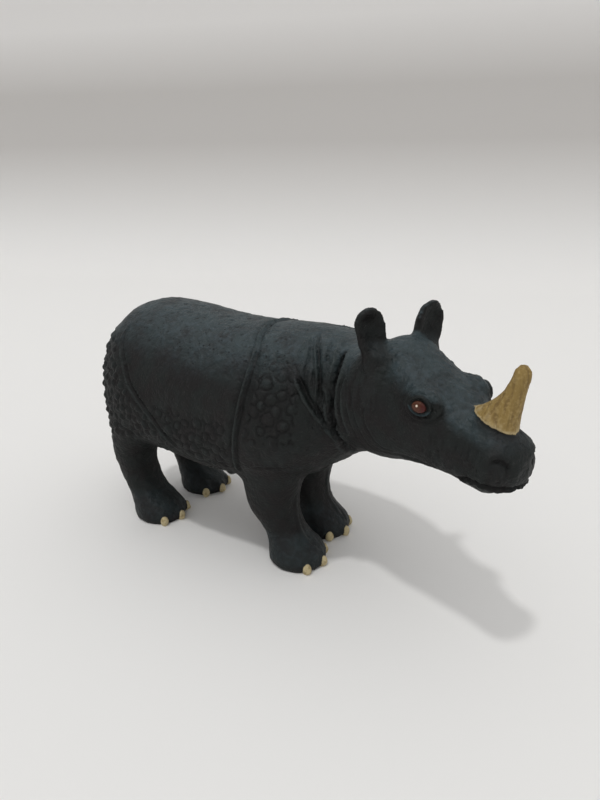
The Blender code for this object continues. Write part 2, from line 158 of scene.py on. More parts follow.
def cap_share(place: float, start: float, end: float, start_cap: float, end_cap: float) -> float:
    """How full a section is near the rounded ends of a run.

    Args:
        place: The section's place along the run.
        start: Where the run starts.
        end: Where it ends.
        start_cap: How long the rounding at its start is.
        end_cap: How long the rounding at its end is.

    Returns:
        1 between the roundings, falling to almost 0 at the ends.
    """
    power = 2.2
    full = 1.0
    if place < start + start_cap:
        full = (1 - ((start + start_cap - place) / start_cap) ** power) ** (1 / power)
    elif place > end - end_cap:
        full = (1 - ((place - end + end_cap) / end_cap) ** power) ** (1 / power)
    return max(full, 0.03)


def add_object(name: str, mesh: bmesh.types.BMesh) -> bpy.types.Object:
    """Puts a bmesh into the scene as an object.

    Args:
        name: The object's name.
        mesh: The bmesh, which is freed.

    Returns:
        The new object, at the origin.
    """
    data = bpy.data.meshes.new(name)
    mesh.to_mesh(data)
    mesh.free()
    thing = bpy.data.objects.new(name, data)
    bpy.context.scene.collection.objects.link(thing)
    return thing


def loft(name: str, rings: Sequence[Sequence[Vector]]) -> bpy.types.Object:
    """A closed skin over a run of rings.

    Args:
        name: The object's name.
        rings: The points of each ring, in metres, equally many in each.

    Returns:
        The new object.
    """
    mesh = bmesh.new()
    loops = []
    for ring in rings:
        circle = bmesh.ops.create_circle(mesh, cap_ends=False, segments=len(ring), radius=MM)
        for vertex, point in zip(circle["verts"], ring):
            vertex.co = point
        loops.append(list(dict.fromkeys(edge for vertex in circle["verts"] for edge in vertex.link_edges)))
    for before, after in zip(loops, loops[1:]):
        bmesh.ops.bridge_loops(mesh, edges=before + after)
    for end in (loops[0], loops[-1]):
        bmesh.ops.edgeloop_fill(mesh, edges=end)
    bmesh.ops.recalc_face_normals(mesh, faces=mesh.faces)
    return add_object(name, mesh)


def applied(thing: bpy.types.Object) -> bpy.types.Object:
    """Replaces an object's mesh with what its modifiers make of it.

    Args:
        thing: The object.

    Returns:
        The same object, without modifiers.
    """
    graph = bpy.context.evaluated_depsgraph_get()
    mesh = bpy.data.meshes.new_from_object(thing.evaluated_get(graph))
    thing.modifiers.clear()
    thing.data = mesh
    return thing


def fused(name: str, things: Sequence[bpy.types.Object], grain: float, rounds: int) -> bpy.types.Object:
    """One watertight skin around overlapping forms, with the joins between them relaxed.

    Args:
        name: The new object's name.
        things: The forms, which are removed.
        grain: The size of the skin's faces, in millimetres.
        rounds: How many rounds of smoothing relax it.

    Returns:
        The skin.
    """
    mesh = bmesh.new()
    for thing in things:
        mesh.from_mesh(thing.data)
        bpy.data.objects.remove(thing)
    body = add_object(name, mesh)
    remesh = body.modifiers.new("skin", "REMESH")
    remesh.mode = "VOXEL"
    remesh.voxel_size = grain * MM
    smooth = body.modifiers.new("relax", "SMOOTH")
    smooth.factor = 0.5
    smooth.iterations = rounds
    return applied(body)

def tree_of(points: Sequence[Sequence[float]]) -> KDTree:
    """Makes a search tree of points.

    Args:
        points: The points.

    Returns:
        The tree, ready to be searched.
    """
    tree = KDTree(len(points))
    for index, point in enumerate(points):
        tree.insert(point, index)
    tree.balance()
    return tree


def close_to(points: Sequence[Sequence[float]], reach: float) -> Callable[[np.ndarray], np.ndarray]:
    """Makes a test for what lies near given points.

    Args:
        points: The given points, in metres.
        reach: How near, in millimetres.

    Returns:
        A function that says of many points, in metres, which of them lie within the reach.
    """
    tree = tree_of(points)
    return lambda many: np.array([tree.find(point)[2] < reach * MM for point in many])


@dataclass
class Spine:
    """The bent line that the trunk follows, seen from above. It carries every place on the animal."""

    first: float = -70.0
    last: float = 133.5
    turn: float = math.radians(27.4)
    bend_start: float = 43.0
    bend_end: float = 70.0
    origin: Place = (-26.729, 4.324, -0.6)
    samples: int = 400
    along: np.ndarray = field(init=False)
    points: np.ndarray = field(init=False)
    turns: np.ndarray = field(init=False)

    def __post_init__(self) -> None:
        """Works out the line's points and directions."""
        self.along = np.linspace(self.first, self.last, self.samples)
        self.turns = -self.turn * smooth_step(self.along, self.bend_start, self.bend_end)
        step = self.along[1] - self.along[0]
        x = self.along[0] + np.concatenate([[0], np.cumsum(np.cos(self.turns[:-1]) * step)])
        y = np.concatenate([[0], np.cumsum(np.sin(self.turns[:-1]) * step)])
        self.points = np.stack([x, y], 1) + self.origin[:2]

    def place(self, along: float, side: float, up: float) -> Vector:
        """A place on the animal as a point in the part's frame, in metres.

        Args:
            along: Its place along the spine. Beyond its ends the spine runs straight on.
            side: Its place sideways from the spine.
            up: Its height.

        Returns:
            The point.
        """
        inside = np.clip(along, self.first, self.last)
        turn = np.interp(inside, self.along, self.turns)
        x = np.interp(inside, self.along, self.points[:, 0]) + (along - inside) * math.cos(turn)
        y = np.interp(inside, self.along, self.points[:, 1]) + (along - inside) * math.sin(turn)
        return Vector((x - side * math.sin(turn), y + side * math.cos(turn), up + self.origin[2])) * MM

    def read(self, skin: np.ndarray) -> tuple[np.ndarray, np.ndarray, np.ndarray]:
        """The places of many points on the animal.

        Args:
            skin: The points, in metres, one to a row.

        Returns:
            Their places along, sideways and up.
        """
        flat = skin[:, :2] / MM
        nearest = np.concatenate(
            [
                ((part[:, None] - self.points[None]) ** 2).sum(2).argmin(1)
                for part in np.array_split(flat, len(flat) // 4000 + 1)
            ]
        )
        offsets = flat - self.points[nearest]
        turns = self.turns[nearest]
        ahead = offsets[:, 0] * np.cos(turns) + offsets[:, 1] * np.sin(turns)
        side = -offsets[:, 0] * np.sin(turns) + offsets[:, 1] * np.cos(turns)
        return self.along[nearest] + ahead, side, skin[:, 2] / MM - self.origin[2]


@dataclass
class Trunk:
    """Rump, barrel, neck and head in one run.

    Rows: place along, top, bottom, half width, height of the widest part.
    """

    spine: Spine
    stations: tuple[Row, ...] = (
        (-70.0, 95.5, 42.0, 26.8, 66.0),
        (-56.0, 99.8, 37.5, 29.0, 64.0),
        (-42.0, 102.3, 34.5, 31.2, 62.0),
        (-25.0, 101.6, 34.0, 32.5, 60.0),
        (-2.0, 98.7, 32.3, 33.5, 58.0),
        (18.0, 98.3, 33.2, 32.5, 58.0),
        (34.0, 99.2, 36.2, 30.5, 60.0),
        (47.0, 98.5, 42.0, 26.5, 65.0),
        (60.0, 97.0, 50.8, 21.5, 72.0),
        (72.0, 98.5, 56.6, 18.5, 77.0),
        (82.5, 102.5, 58.3, 17.6, 78.0),
        (93.0, 98.5, 61.5, 16.5, 78.0),
        (104.0, 93.0, 63.5, 14.6, 79.0),
        (112.0, 89.0, 64.0, 12.2, 77.0),
        (120.0, 86.0, 63.7, 10.8, 76.0),
        (127.0, 84.2, 63.7, 10.4, 75.0),
        (133.5, 82.0, 65.5, 9.8, 74.0),
    )
    rump_cap: float = 31.0
    nose_cap: float = 5.5
    squareness: float = 2.3
    ring_points: int = 48

    def build(self) -> bpy.types.Object:
        """Lofts the trunk, with closer rings where its ends round off.

        Returns:
            The trunk.
        """
        start, end = self.stations[0][0], self.stations[-1][0]
        quarter = math.pi / 2
        places = np.concatenate(
            [
                start + self.rump_cap * (1 - np.cos(np.linspace(0, quarter, 14)))[:-1],
                np.linspace(start + self.rump_cap, end - self.nose_cap, 70),
                end - self.nose_cap * (1 - np.sin(np.linspace(0, quarter, 8)))[1:],
            ]
        )
        rings = []
        for place in places:
            top, bottom, half, wide = flowing(self.stations, place)
            full = cap_share(place, start, end, self.rump_cap, self.nose_cap)
            above = (top - wide) * full
            below = (wide - bottom) * full
            ring = []
            for angle in np.linspace(0, math.tau, self.ring_points, endpoint=False):
                side, up = oval(angle, half * full, above, below, self.squareness)
                ring.append(self.spine.place(place, side, wide + up))
            rings.append(ring)
        return loft("trunk", rings)


@dataclass
class Foot:
    """Where one foot stands, and how the leg above it runs."""

    name: str
    side: Side
    middle: Vector
    profile: tuple[Row, ...]
    setback: float


@dataclass
class Legs:
    """The four legs with their toes and nails.

    Rows: height, place ahead of and outside the foot's middle, half length, half width.
    """

    spine: Spine
    wheelbase: float = 75.4
    hind_track: float = 32.6
    front_track: float = 27.0
    left_fore_setback: float = 2.4
    setback_heights: tuple[float, float] = (10.0, 34.0)
    hind: tuple[Row, ...] = (
        (0.0, -0.2, 0.0, 11.4, 11.2),
        (2.5, -0.2, 0.0, 11.9, 11.7),
        (7.0, -1.5, 0.0, 10.9, 11.2),
        (13.0, -6.1, 0.2, 8.1, 9.6),
        (22.0, -11.2, 0.4, 7.8, 9.4),
        (32.0, -12.9, 0.4, 9.0, 10.8),
        (43.0, -9.2, 0.0, 11.9, 12.8),
        (56.0, -6.6, -1.0, 16.2, 14.0),
        (72.0, -8.0, -3.0, 19.0, 12.0),
        (85.0, -8.0, -6.0, 14.0, 8.0),
    )
    front: tuple[Row, ...] = (
        (0.0, 0.0, 0.0, 11.6, 11.3),
        (2.5, 0.0, 0.0, 12.3, 11.9),
        (7.5, -0.8, 0.0, 11.4, 11.1),
        (13.0, -4.4, 0.2, 8.8, 9.2),
        (22.0, -10.5, 0.4, 10.5, 9.8),
        (32.0, -11.8, 0.6, 12.2, 10.8),
        (43.0, -10.5, 0.6, 14.0, 12.0),
        (56.0, -7.0, 0.0, 15.0, 13.0),
        (72.0, -1.0, -2.0, 16.0, 11.0),
        (85.0, 0.0, -5.0, 11.0, 7.0),
    )
    squareness: float = 2.15
    top_cap: float = 12.0
    ring_points: int = 40
    rings: int = 40
    toe_angles: tuple[float, ...] = (-48.0, -4.0, 40.0)
    toe_out: float = 9.0
    toe_up: float = 3.1
    toe_radii: Place = (4.1, 3.7, 4.1)
    nail_out: float = 12.2
    nail_up: float = 3.1
    nail_radii: Place = (1.3, 1.9, 3.1)
    nail_lean: float = math.radians(20)
    nail_face: tuple[float, float] = (1.85, 2.4)
    nail_face_up: float = -0.5
    nail_taper: float = 0.06

    def feet(self) -> Iterator[Foot]:
        """Places the feet.

        Yields:
            Each of the four feet.
        """
        for side in Side:
            setback = self.left_fore_setback if side is Side.LEFT else 0.0
            hind = self.spine.place(-self.wheelbase / 2, side.value * self.hind_track / 2, 0.0)
            fore = self.spine.place(self.wheelbase / 2 - setback, side.value * self.front_track / 2, 0.0)
            yield Foot(f"hind_{side.name.lower()}", side, hind, self.hind, 0.0)
            yield Foot(f"fore_{side.name.lower()}", side, fore, self.front, setback)

    def leg(self, foot: Foot) -> bpy.types.Object:
        """One leg, as a run of level ovals from the sole up into the body. Its setback is gone at the knee.

        Args:
            foot: The foot that it stands on.

        Returns:
            The leg.
        """
        lowest, highest = foot.profile[0][0], foot.profile[-1][0]
        rings = []
        for height in np.linspace(lowest, highest, self.rings):
            ahead, outward, length, width = flowing(foot.profile, height)
            ahead += foot.setback * smooth_step(height, *self.setback_heights)
            full = cap_share(height, lowest - 1, highest, 1, self.top_cap)
            ring = []
            for angle in np.linspace(0, math.tau, self.ring_points, endpoint=False):
                across, fore = oval(angle, width * full, length * full, length * full, self.squareness)
                place = Vector((ahead + fore, foot.side.value * (outward + across), height))
                ring.append(foot.middle + place * MM)
            rings.append(ring)
        return loft(f"{foot.name}_leg", rings)

    def round_foot(self, foot: Foot, angle: float, out: float, up: float) -> tuple[float, Vector]:
        """A place at an angle round a foot.

        Args:
            foot: The foot.
            angle: The angle outwards from straight ahead, in degrees.
            out: How far out from the foot's middle.
            up: How far above the ground.

        Returns:
            The heading, and the point in metres.
        """
        heading = foot.side.value * math.radians(angle)
        away = Vector((math.cos(heading) * out, math.sin(heading) * out, up)) * MM
        return heading, foot.middle + away

    def toes(self) -> Iterator[bpy.types.Object]:
        """Makes the toes.

        Yields:
            A ball of flesh for each toe.
        """
        for foot in self.feet():
            for angle in self.toe_angles:
                heading, place = self.round_foot(foot, angle, self.toe_out, self.toe_up)
                yield ball(f"{foot.name}_toe", place, self.toe_radii, heading)

    def nails(self) -> Iterator[tuple[Vector, Matrix]]:
        """Places the nails.

        Yields:
            Each nail's middle, and the turn from the part's axes to its own.
        """
        for foot in self.feet():
            for angle in self.toe_angles:
                heading, place = self.round_foot(foot, angle, self.nail_out, self.nail_up)
                yield place, Matrix.Rotation(heading, 3, "Z") @ Matrix.Rotation(-self.nail_lean, 3, "Y")

    def on_nails(self, skin: np.ndarray) -> np.ndarray:
        """How far inside the edge of a nail's face each point of the skin lies.

        Args:
            skin: The points, in metres.

        Returns:
            Millimetres, positive on a nail.
        """
        half_width, half_height = self.nail_face
        inside = np.full(len(skin), -FAR)
        for middle, turn in self.nails():
            local = (skin - np.array(middle)) @ np.array(turn) / MM
            taper = 1 - self.nail_taper * np.clip(local[:, 2] / self.nail_radii[2], -1, 1)
            height = (local[:, 2] - self.nail_face_up) / half_height
            reach = np.hypot(local[:, 1] / (half_width * taper), height)
            near = (np.abs(local[:, 0]) < 2.4) & (reach < 2.2)
            inside = np.maximum(inside, np.where(near, (1 - reach) * half_width, -FAR))
        return inside


def ball(
    name: str, middle: Vector, radii: Place, heading: float = 0.0, lean: float = 0.0
) -> bpy.types.Object:
    """An ellipsoid of flesh.

    Args:
        name: The object's name.
        middle: Its middle, in metres.
        radii: Its half sizes along its heading, across it and upwards.
        heading: Its turn round the upright axis.
        lean: How far its upright axis leans along the heading.

    Returns:
        The new object.
    """
    mesh = bmesh.new()
    bmesh.ops.create_uvsphere(mesh, u_segments=28, v_segments=18, radius=1)
    placed = Matrix.Translation(middle) @ Matrix.Rotation(heading, 4, "Z") @ Matrix.Rotation(lean, 4, "Y")
    sized = placed @ Matrix.Diagonal((*(r * MM for r in radii), 1))
    bmesh.ops.transform(mesh, matrix=sized, verts=mesh.verts)
    return add_object(name, mesh)


@dataclass(frozen=True)
class EarShape:
    """How one ear stands. Rows: share of its length, half width, half depth."""

    base: Place
    tip: Place
    widths: tuple[Row, ...]


EAR_SHAPES: dict[Side, EarShape] = {
    Side.LEFT: EarShape(
        (81.3, 9.0, 93.0),
        (79.8, 14.4, 113.0),
        ((0.0, 5.6, 4.8), (0.3, 5.7, 4.4), (0.6, 6.6, 4.2), (0.8, 5.5, 3.6), (1.0, 3.2, 2.6)),
    ),
    Side.RIGHT: EarShape(
        (81.5, 11.2, 93.0),
        (80.0, 15.6, 113.2),
        ((0.0, 5.4, 4.8), (0.3, 5.0, 4.4), (0.6, 5.6, 4.2), (0.8, 5.6, 3.8), (1.0, 4.0, 2.8)),
    ),
}


@dataclass
class Ear:
    """One ear, a cupped paddle whose hollow faces forwards."""

    spine: Spine
    side: Side
    cap: float = 0.22
    hollow: float = 1.25
    rim: float = 1.3
    faces: float = math.radians(2)
    rings: int = 30
    ring_points: int = 48

    def build(self) -> bpy.types.Object:
        """Lofts the ear from its foot to its tip.

        Returns:
            The ear.
        """
        shape = EAR_SHAPES[self.side]
        base = self.spine.place(shape.base[0], self.side.value * shape.base[1], shape.base[2])
        tip = self.spine.place(shape.tip[0], self.side.value * shape.tip[1], shape.tip[2])
        axis = (tip - base).normalized()
        heading = -self.spine.turn + self.side.value * self.faces
        front = Vector((math.cos(heading), math.sin(heading), 0))
        front = (front - axis * front.dot(axis)).normalized()
        across = axis.cross(front)
        rings = []
        for share in np.linspace(0, 1, self.rings):
            width, thick = flowing(shape.widths, share)
            full = cap_share(share, -1, 1, 1, self.cap)
            hollow = self.hollow * smooth_step(share, 0.18, 0.45) * (1 - smooth_step(share, 0.80, 0.98))
            ring = []
            for angle in np.linspace(0, math.tau, self.ring_points, endpoint=False):
                depth = -math.cos(angle) * thick
                if depth > 0:
                    depth *= 1 - hollow * abs(math.cos(angle)) ** self.rim
                offset = across * math.sin(angle) * width + front * depth
                ring.append(base + (tip - base) * share + offset * full * MM)
            rings.append(ring)
        return loft(f"ear_{self.side.name.lower()}", rings)


@dataclass
class Horn:
    """The nose horn, a broad-footed cone that leans forwards.

    Rows: share of its length, half length and half width. The rim's rows say how high the paint starts at
    each place along. The paint may reach a little beyond the cone.
    """

    spine: Spine
    base: Place = (120.9, 0.0, 83.5)
    tip: Place = (129.6, 0.0, 104.0)
    widths: tuple[Row, ...] = (
        (0.00, 7.6, 6.5),
        (0.12, 6.6, 5.8),
        (0.30, 4.8, 4.5),
        (0.55, 3.0, 3.1),
        (0.80, 2.4, 2.4),
        (1.00, 2.0, 2.0),
    )
    cap: float = 0.10
    bow: float = 1.5
    rings: int = 30
    ring_points: int = 40
    beyond: float = 1.0
    paint_scale: float = 4.0
    rim: tuple[Row, ...] = (
        (112.0, 88.9),
        (114.5, 88.1),
        (117.8, 87.3),
        (120.9, 86.7),
        (123.5, 85.9),
        (126.5, 85.0),
        (128.0, 84.2),
        (131.0, 83.2),
    )

    def axes(self) -> tuple[Vector, Vector, Vector, Vector, Vector]:
        """Works out how the horn stands.

        Returns:
            Its base and tip, and its directions along, ahead and across.
        """
        base = self.spine.place(*self.base)
        tip = self.spine.place(*self.tip)
        axis = (tip - base).normalized()
        ahead = Vector((math.cos(self.spine.turn), -math.sin(self.spine.turn), 0))
        ahead = (ahead - axis * ahead.dot(axis)).normalized()
        return base, tip, axis, ahead, axis.cross(ahead)

    def build(self) -> bpy.types.Object:
        """Lofts the horn from its foot to its tip.

        Returns:
            The horn.
        """
        base, tip, _, ahead, across = self.axes()
        rings = []
        for share in np.linspace(0, 1, self.rings):
            length, width = flowing(self.widths, share)
            full = cap_share(share, -1, 1, 1, self.cap)
            middle = base + (tip - base) * share + ahead * self.bow * 4 * share * (1 - share) * MM
            ring = []
            for angle in np.linspace(0, math.tau, self.ring_points, endpoint=False):
                offset = ahead * math.cos(angle) * length + across * math.sin(angle) * width
                ring.append(middle + offset * full * MM)
            rings.append(ring)
        return loft("horn", rings)

    def inside(self, skin: np.ndarray) -> np.ndarray:
        """How far inside the painted horn each point of the skin lies.

        Args:
            skin: The points, in metres.

        Returns:
            Millimetres, positive on the horn.
        """
        base, tip, axis, ahead, across = self.axes()
        offsets = (skin - np.array(base)) / MM
        length = (tip - base).length / MM
        share = offsets @ np.array(axis) / length
        within = np.clip(share, 0, 1)
        table = np.array(self.widths)
        fore = offsets @ np.array(ahead) - self.bow * 4 * within * (1 - within)
        cross = offsets @ np.array(across)
        reach = np.hypot(
            fore / (np.interp(within, table[:, 0], table[:, 1]) + self.beyond),
            cross / (np.interp(within, table[:, 0], table[:, 2]) + self.beyond),
        )
        around = (1 - reach) * self.paint_scale
        along, _, up = self.spine.read(skin)
        rim = np.array(self.rim)
        above = up - np.interp(along, rim[:, 0], rim[:, 1])
        return np.minimum(around, above)


@dataclass
class Tail:
    """The tail, lying down the cleft of the rump. Rows: place along, height, half thickness."""

    spine: Spine
    stations: tuple[Row, ...] = (
        (-64.0, 86.0, 4.4),
        (-69.6, 79.0, 3.6),
        (-71.2, 70.0, 2.8),
        (-70.6, 61.0, 2.4),
        (-69.2, 53.0, 2.5),
        (-68.4, 48.0, 3.0),
    )
    rings: int = 30
    ring_points: int = 24

    def build(self) -> bpy.types.Object:
        """Lofts the tail from the rump down.

        Returns:
            The tail.
        """
        stations = [(i, *row) for i, row in enumerate(self.stations)]
        last = len(stations) - 1
        rings = []
        for step in np.linspace(0, last, self.rings):
            along, up, thick = flowing(stations, step)
            full = cap_share(step, -1, last, 1, 0.5)
            ring = []
            for angle in np.linspace(0, math.tau, self.ring_points, endpoint=False):
                offset = Vector((math.cos(angle), math.sin(angle), 0)) * thick * full * MM
                ring.append(self.spine.place(along, 0, up) + offset)
            rings.append(ring)
        return loft("tail", rings)


@dataclass(frozen=True)
class Trace:
    """A path laid on the skin: its points, the skin's outward directions and the path's own directions."""

    points: np.ndarray
    outward: np.ndarray
    onward: np.ndarray
    side: Side

    @classmethod
    def lay(cls, path: Sequence[Place], side: Side, spine: Spine, tree: BVHTree) -> "Trace":
        """Lays a path on the skin. One that starts on the spine runs on over the other side.

        Args:
            path: The path's places, on the left side.
            side: The side to lay it on.
            spine: The spine that carries the places.
            tree: The skin.

        Returns:
            The trace, with a point about every 0.7 mm.
        """
        stations = [(i, *place) for i, place in enumerate(path)]
        if path[0][1] == 0:
            mirrored = [(-i, along, -across, up) for i, along, across, up in stations[:0:-1]]
            stations = mirrored + stations
        length = sum(math.dist(a[1:], b[1:]) for a, b in zip(stations, stations[1:]))
        points, normals = [], []
        for step in np.linspace(stations[0][0], stations[-1][0], max(int(length / 0.7), 8)):
            along, across, up = flowing(stations, step)
            point, normal, _, _ = tree.find_nearest(spine.place(along, side.value * across, up))
            points.append(point)
            normals.append(normal)
        points = np.array(points)
        onward = np.gradient(points, axis=0)
        onward /= np.linalg.norm(onward, axis=1, keepdims=True)
        return cls(points, np.array(normals), onward, side)


@dataclass(frozen=True)
class Patch:
    """A small flat frame laid on the skin: its middle and its directions ahead, up and outwards."""

    middle: np.ndarray
    ahead: np.ndarray
    up: np.ndarray
    out: np.ndarray

    @classmethod
    def lay(cls, place: Place, side: Side, spine: Spine, tree: BVHTree, tilt: float = 0.0) -> "Patch":
        """Lays a patch on the skin.

        Args:
            place: Its middle, on the left side.
            side: The side to lay it on.
            spine: The spine that carries the place.
            tree: The skin.
            tilt: How far its front end is turned down.

        Returns:
            The patch.
        """
        along, across, up = place
        wanted = spine.place(along, side.value * across, up)
        middle, out, _, _ = tree.find_nearest(wanted)
        ahead = spine.place(along + 1, side.value * across, up) - wanted
        ahead = (ahead - out * ahead.dot(out)).normalized()
        up = out.cross(ahead)
        if up.z < 0:
            up = -up
        turned = ahead * math.cos(tilt) - up * math.sin(tilt)
        lifted = ahead * math.sin(tilt) + up * math.cos(tilt)
        return cls(np.array(middle), np.array(turned), np.array(lifted), np.array(out))

    def read(self, skin: np.ndarray) -> tuple[np.ndarray, np.ndarray, np.ndarray]:
        """The points of the skin in the patch's own axes.

        Args:
            skin: The points, in metres.

        Returns:
            How far ahead, up and outwards of its middle they are, in millimetres.
        """
        offsets = (skin - self.middle) / MM
        return offsets @ self.ahead, offsets @ self.up, offsets @ self.out


@dataclass(frozen=True)
class Fold:
    """A crease along a path on the left side's skin, mirrored to the right.

    The groove lies ahead of or above the bead when ahead is 1, and behind or below it when ahead is -1, and a
    second groove may lie on the bead's other side. A lip is a soft ridge beyond the groove. The ledge is how
    far the skin beyond the bead stands over the skin on the groove's side. Its strength is uneven along it.
    """

    path: tuple[Place, ...]
    bead: float = 0.3
    bead_width: float = 0.6
    groove: float = 0.5
    groove_width: float = 0.6
    gap: float = 1.2
    second: float = 0.0
    lip: float = 0.0
    ledge: float = 0.0
    ledge_fall: float = 2.7
    ahead: int = 1
    fades: tuple[float, float] = (5.0, 6.0)
    depth: float = 4.0
    uneven: float = 0.6
    uneven_size: float = 5.0

    def sides(self) -> tuple[Side, ...]:
        """The sides that the path is laid on. One that crosses the spine is laid once."""
        return (Side.LEFT,) if self.path[0][1] == 0 else tuple(Side)

    def height(self, trace: Trace, skin: np.ndarray) -> np.ndarray:
        """How far the fold moves each point of the skin out.

        Args:
            trace: The fold's path on one side.
            skin: The points, in metres.

        Returns:
            Millimetres.
        """
        reach = (4 * self.gap + 4 + (3 * self.ledge_fall if self.ledge else 0)) * MM
        near = np.all((skin > trace.points.min(0) - reach) & (skin < trace.points.max(0) + reach), axis=1)
        moves = np.zeros(len(skin))
        chosen = np.flatnonzero(near)
        lengths = np.concatenate([[0], np.cumsum(np.linalg.norm(np.diff(trace.points, axis=0), axis=1))]) / MM
        crosswise = np.cross(trace.outward, trace.onward)
        rough = [noise.noise(Vector(point) / (self.uneven_size * MM)) for point in trace.points]
        strengths = 1 + self.uneven * np.array(rough)
        for part in np.array_split(chosen, len(chosen) // 3000 + 1):
            offsets = (skin[part][:, None, :] - trace.points[None]) / MM
            closest = (offsets**2).sum(2).argmin(1)
            offset = offsets[np.arange(len(part)), closest]
            across = (offset * crosswise[closest]).sum(1) * -trace.side.value * self.ahead
            lift = (offset * trace.outward[closest]).sum(1)
            strength = self.fading(lengths[closest], lengths[-1]) * ridge(lift, 0.0, self.depth)
            strength *= strengths[closest]
            moves[part] = self.section(across) * strength
        return moves

    def fading(self, place: np.ndarray, length: float) -> np.ndarray:
        """How strong the fold is at each place along it.

        Args:
            place: How far along the path, in millimetres.
            length: The path's length.

        Returns:
            Its strength, 0 at an end and 1 between.
        """
        start = self.fades[1] if self.path[0][1] == 0 else self.fades[0]
        return smooth_step(place, 0, start) * (1 - smooth_step(place, length - self.fades[1], length))

    def section(self, across: np.ndarray) -> np.ndarray:
        """The fold's section.

        Args:
            across: Distances across the fold, positive on the groove's side.

        Returns:
            Its height at each of them.
        """
        height = self.bead * ridge(across, 0.0, self.bead_width)
        height -= self.groove * ridge(across, self.gap, self.groove_width)
        height -= self.second * ridge(across, -self.gap, self.groove_width)
        height += self.lip * ridge(across, 2.1 * self.gap, 1.2 * self.groove_width)
        fall = np.exp(across.clip(max=0) / self.ledge_fall)
        return height + self.ledge * (1 - smooth_step(across, -0.9, 0.9)) * fall


# edges of the plates: shoulder with the soft valley ahead of it, haunch, lapel, and the deep groove behind
# the ear and the cheek
PLATES: tuple[Fold, ...] = (
    Fold(
        ((18.8, 0.0, 98.3), (20.2, 11.0, 96.5), (23.2, 19.4, 92.1), (23.9, 24.0, 87.4), (23.7, 27.8, 81.0),
         (22.9, 30.2, 74.5), (22.2, 31.5, 68.3), (20.9, 32.2, 60.5), (19.6, 31.1, 49.3), (17.5, 24.0, 39.0)),
        bead=0.8, bead_width=0.6, groove=0.95, groove_width=0.6, gap=1.3, second=0.95, ledge=0.2,
        fades=(0.0, 9.0),
    ),
    Fold(
        ((25.6, 19.0, 91.5), (27.2, 25.0, 84.0), (26.8, 28.5, 77.0), (25.2, 30.6, 70.0), (23.8, 31.5, 63.0)),
        bead=0.0, groove=0.8, groove_width=2.2, gap=0.0, fades=(8.0, 10.0),
    ),
    Fold(
        ((-40.0, 19.5, 95.5), (-42.6, 22.6, 91.5), (-43.0, 25.4, 87.0), (-38.6, 29.4, 79.0),
         (-34.8, 31.3, 71.5), (-28.6, 32.1, 64.5), (-22.1, 32.6, 58.3), (-16.2, 32.3, 52.3),
         (-9.5, 30.8, 46.0)),
        bead=0.8, bead_width=0.55, groove=0.95, groove_width=0.7, gap=1.35, second=0.5, lip=0.55, ledge=0.5,
        fades=(16.0, 7.0),
    ),
    Fold(
        ((42.2, 23.2, 85.5), (44.4, 24.0, 82.4), (49.2, 24.6, 77.2), (57.2, 22.5, 71.5), (65.1, 19.0, 65.6),
         (68.0, 15.0, 60.0), (69.0, 9.0, 56.0)),
        bead=1.0, bead_width=0.6, groove=1.1, groove_width=1.0, gap=1.8, second=0.6, ledge=0.5,
        fades=(4.0, 6.0),
    ),
    Fold(
        ((62.6, 7.6, 97.0), (64.1, 10.4, 94.8), (67.9, 15.8, 89.9), (68.6, 18.2, 84.2), (68.8, 19.0, 78.9),
         (69.6, 18.4, 69.5), (69.4, 12.6, 58.3), (68.0, 6.0, 54.5)),
        bead=0.7, bead_width=0.6, groove=2.3, groove_width=1.1, gap=1.8, lip=0.8, ledge=0.6, ahead=-1,
        fades=(7.0, 6.0),
    ),
)

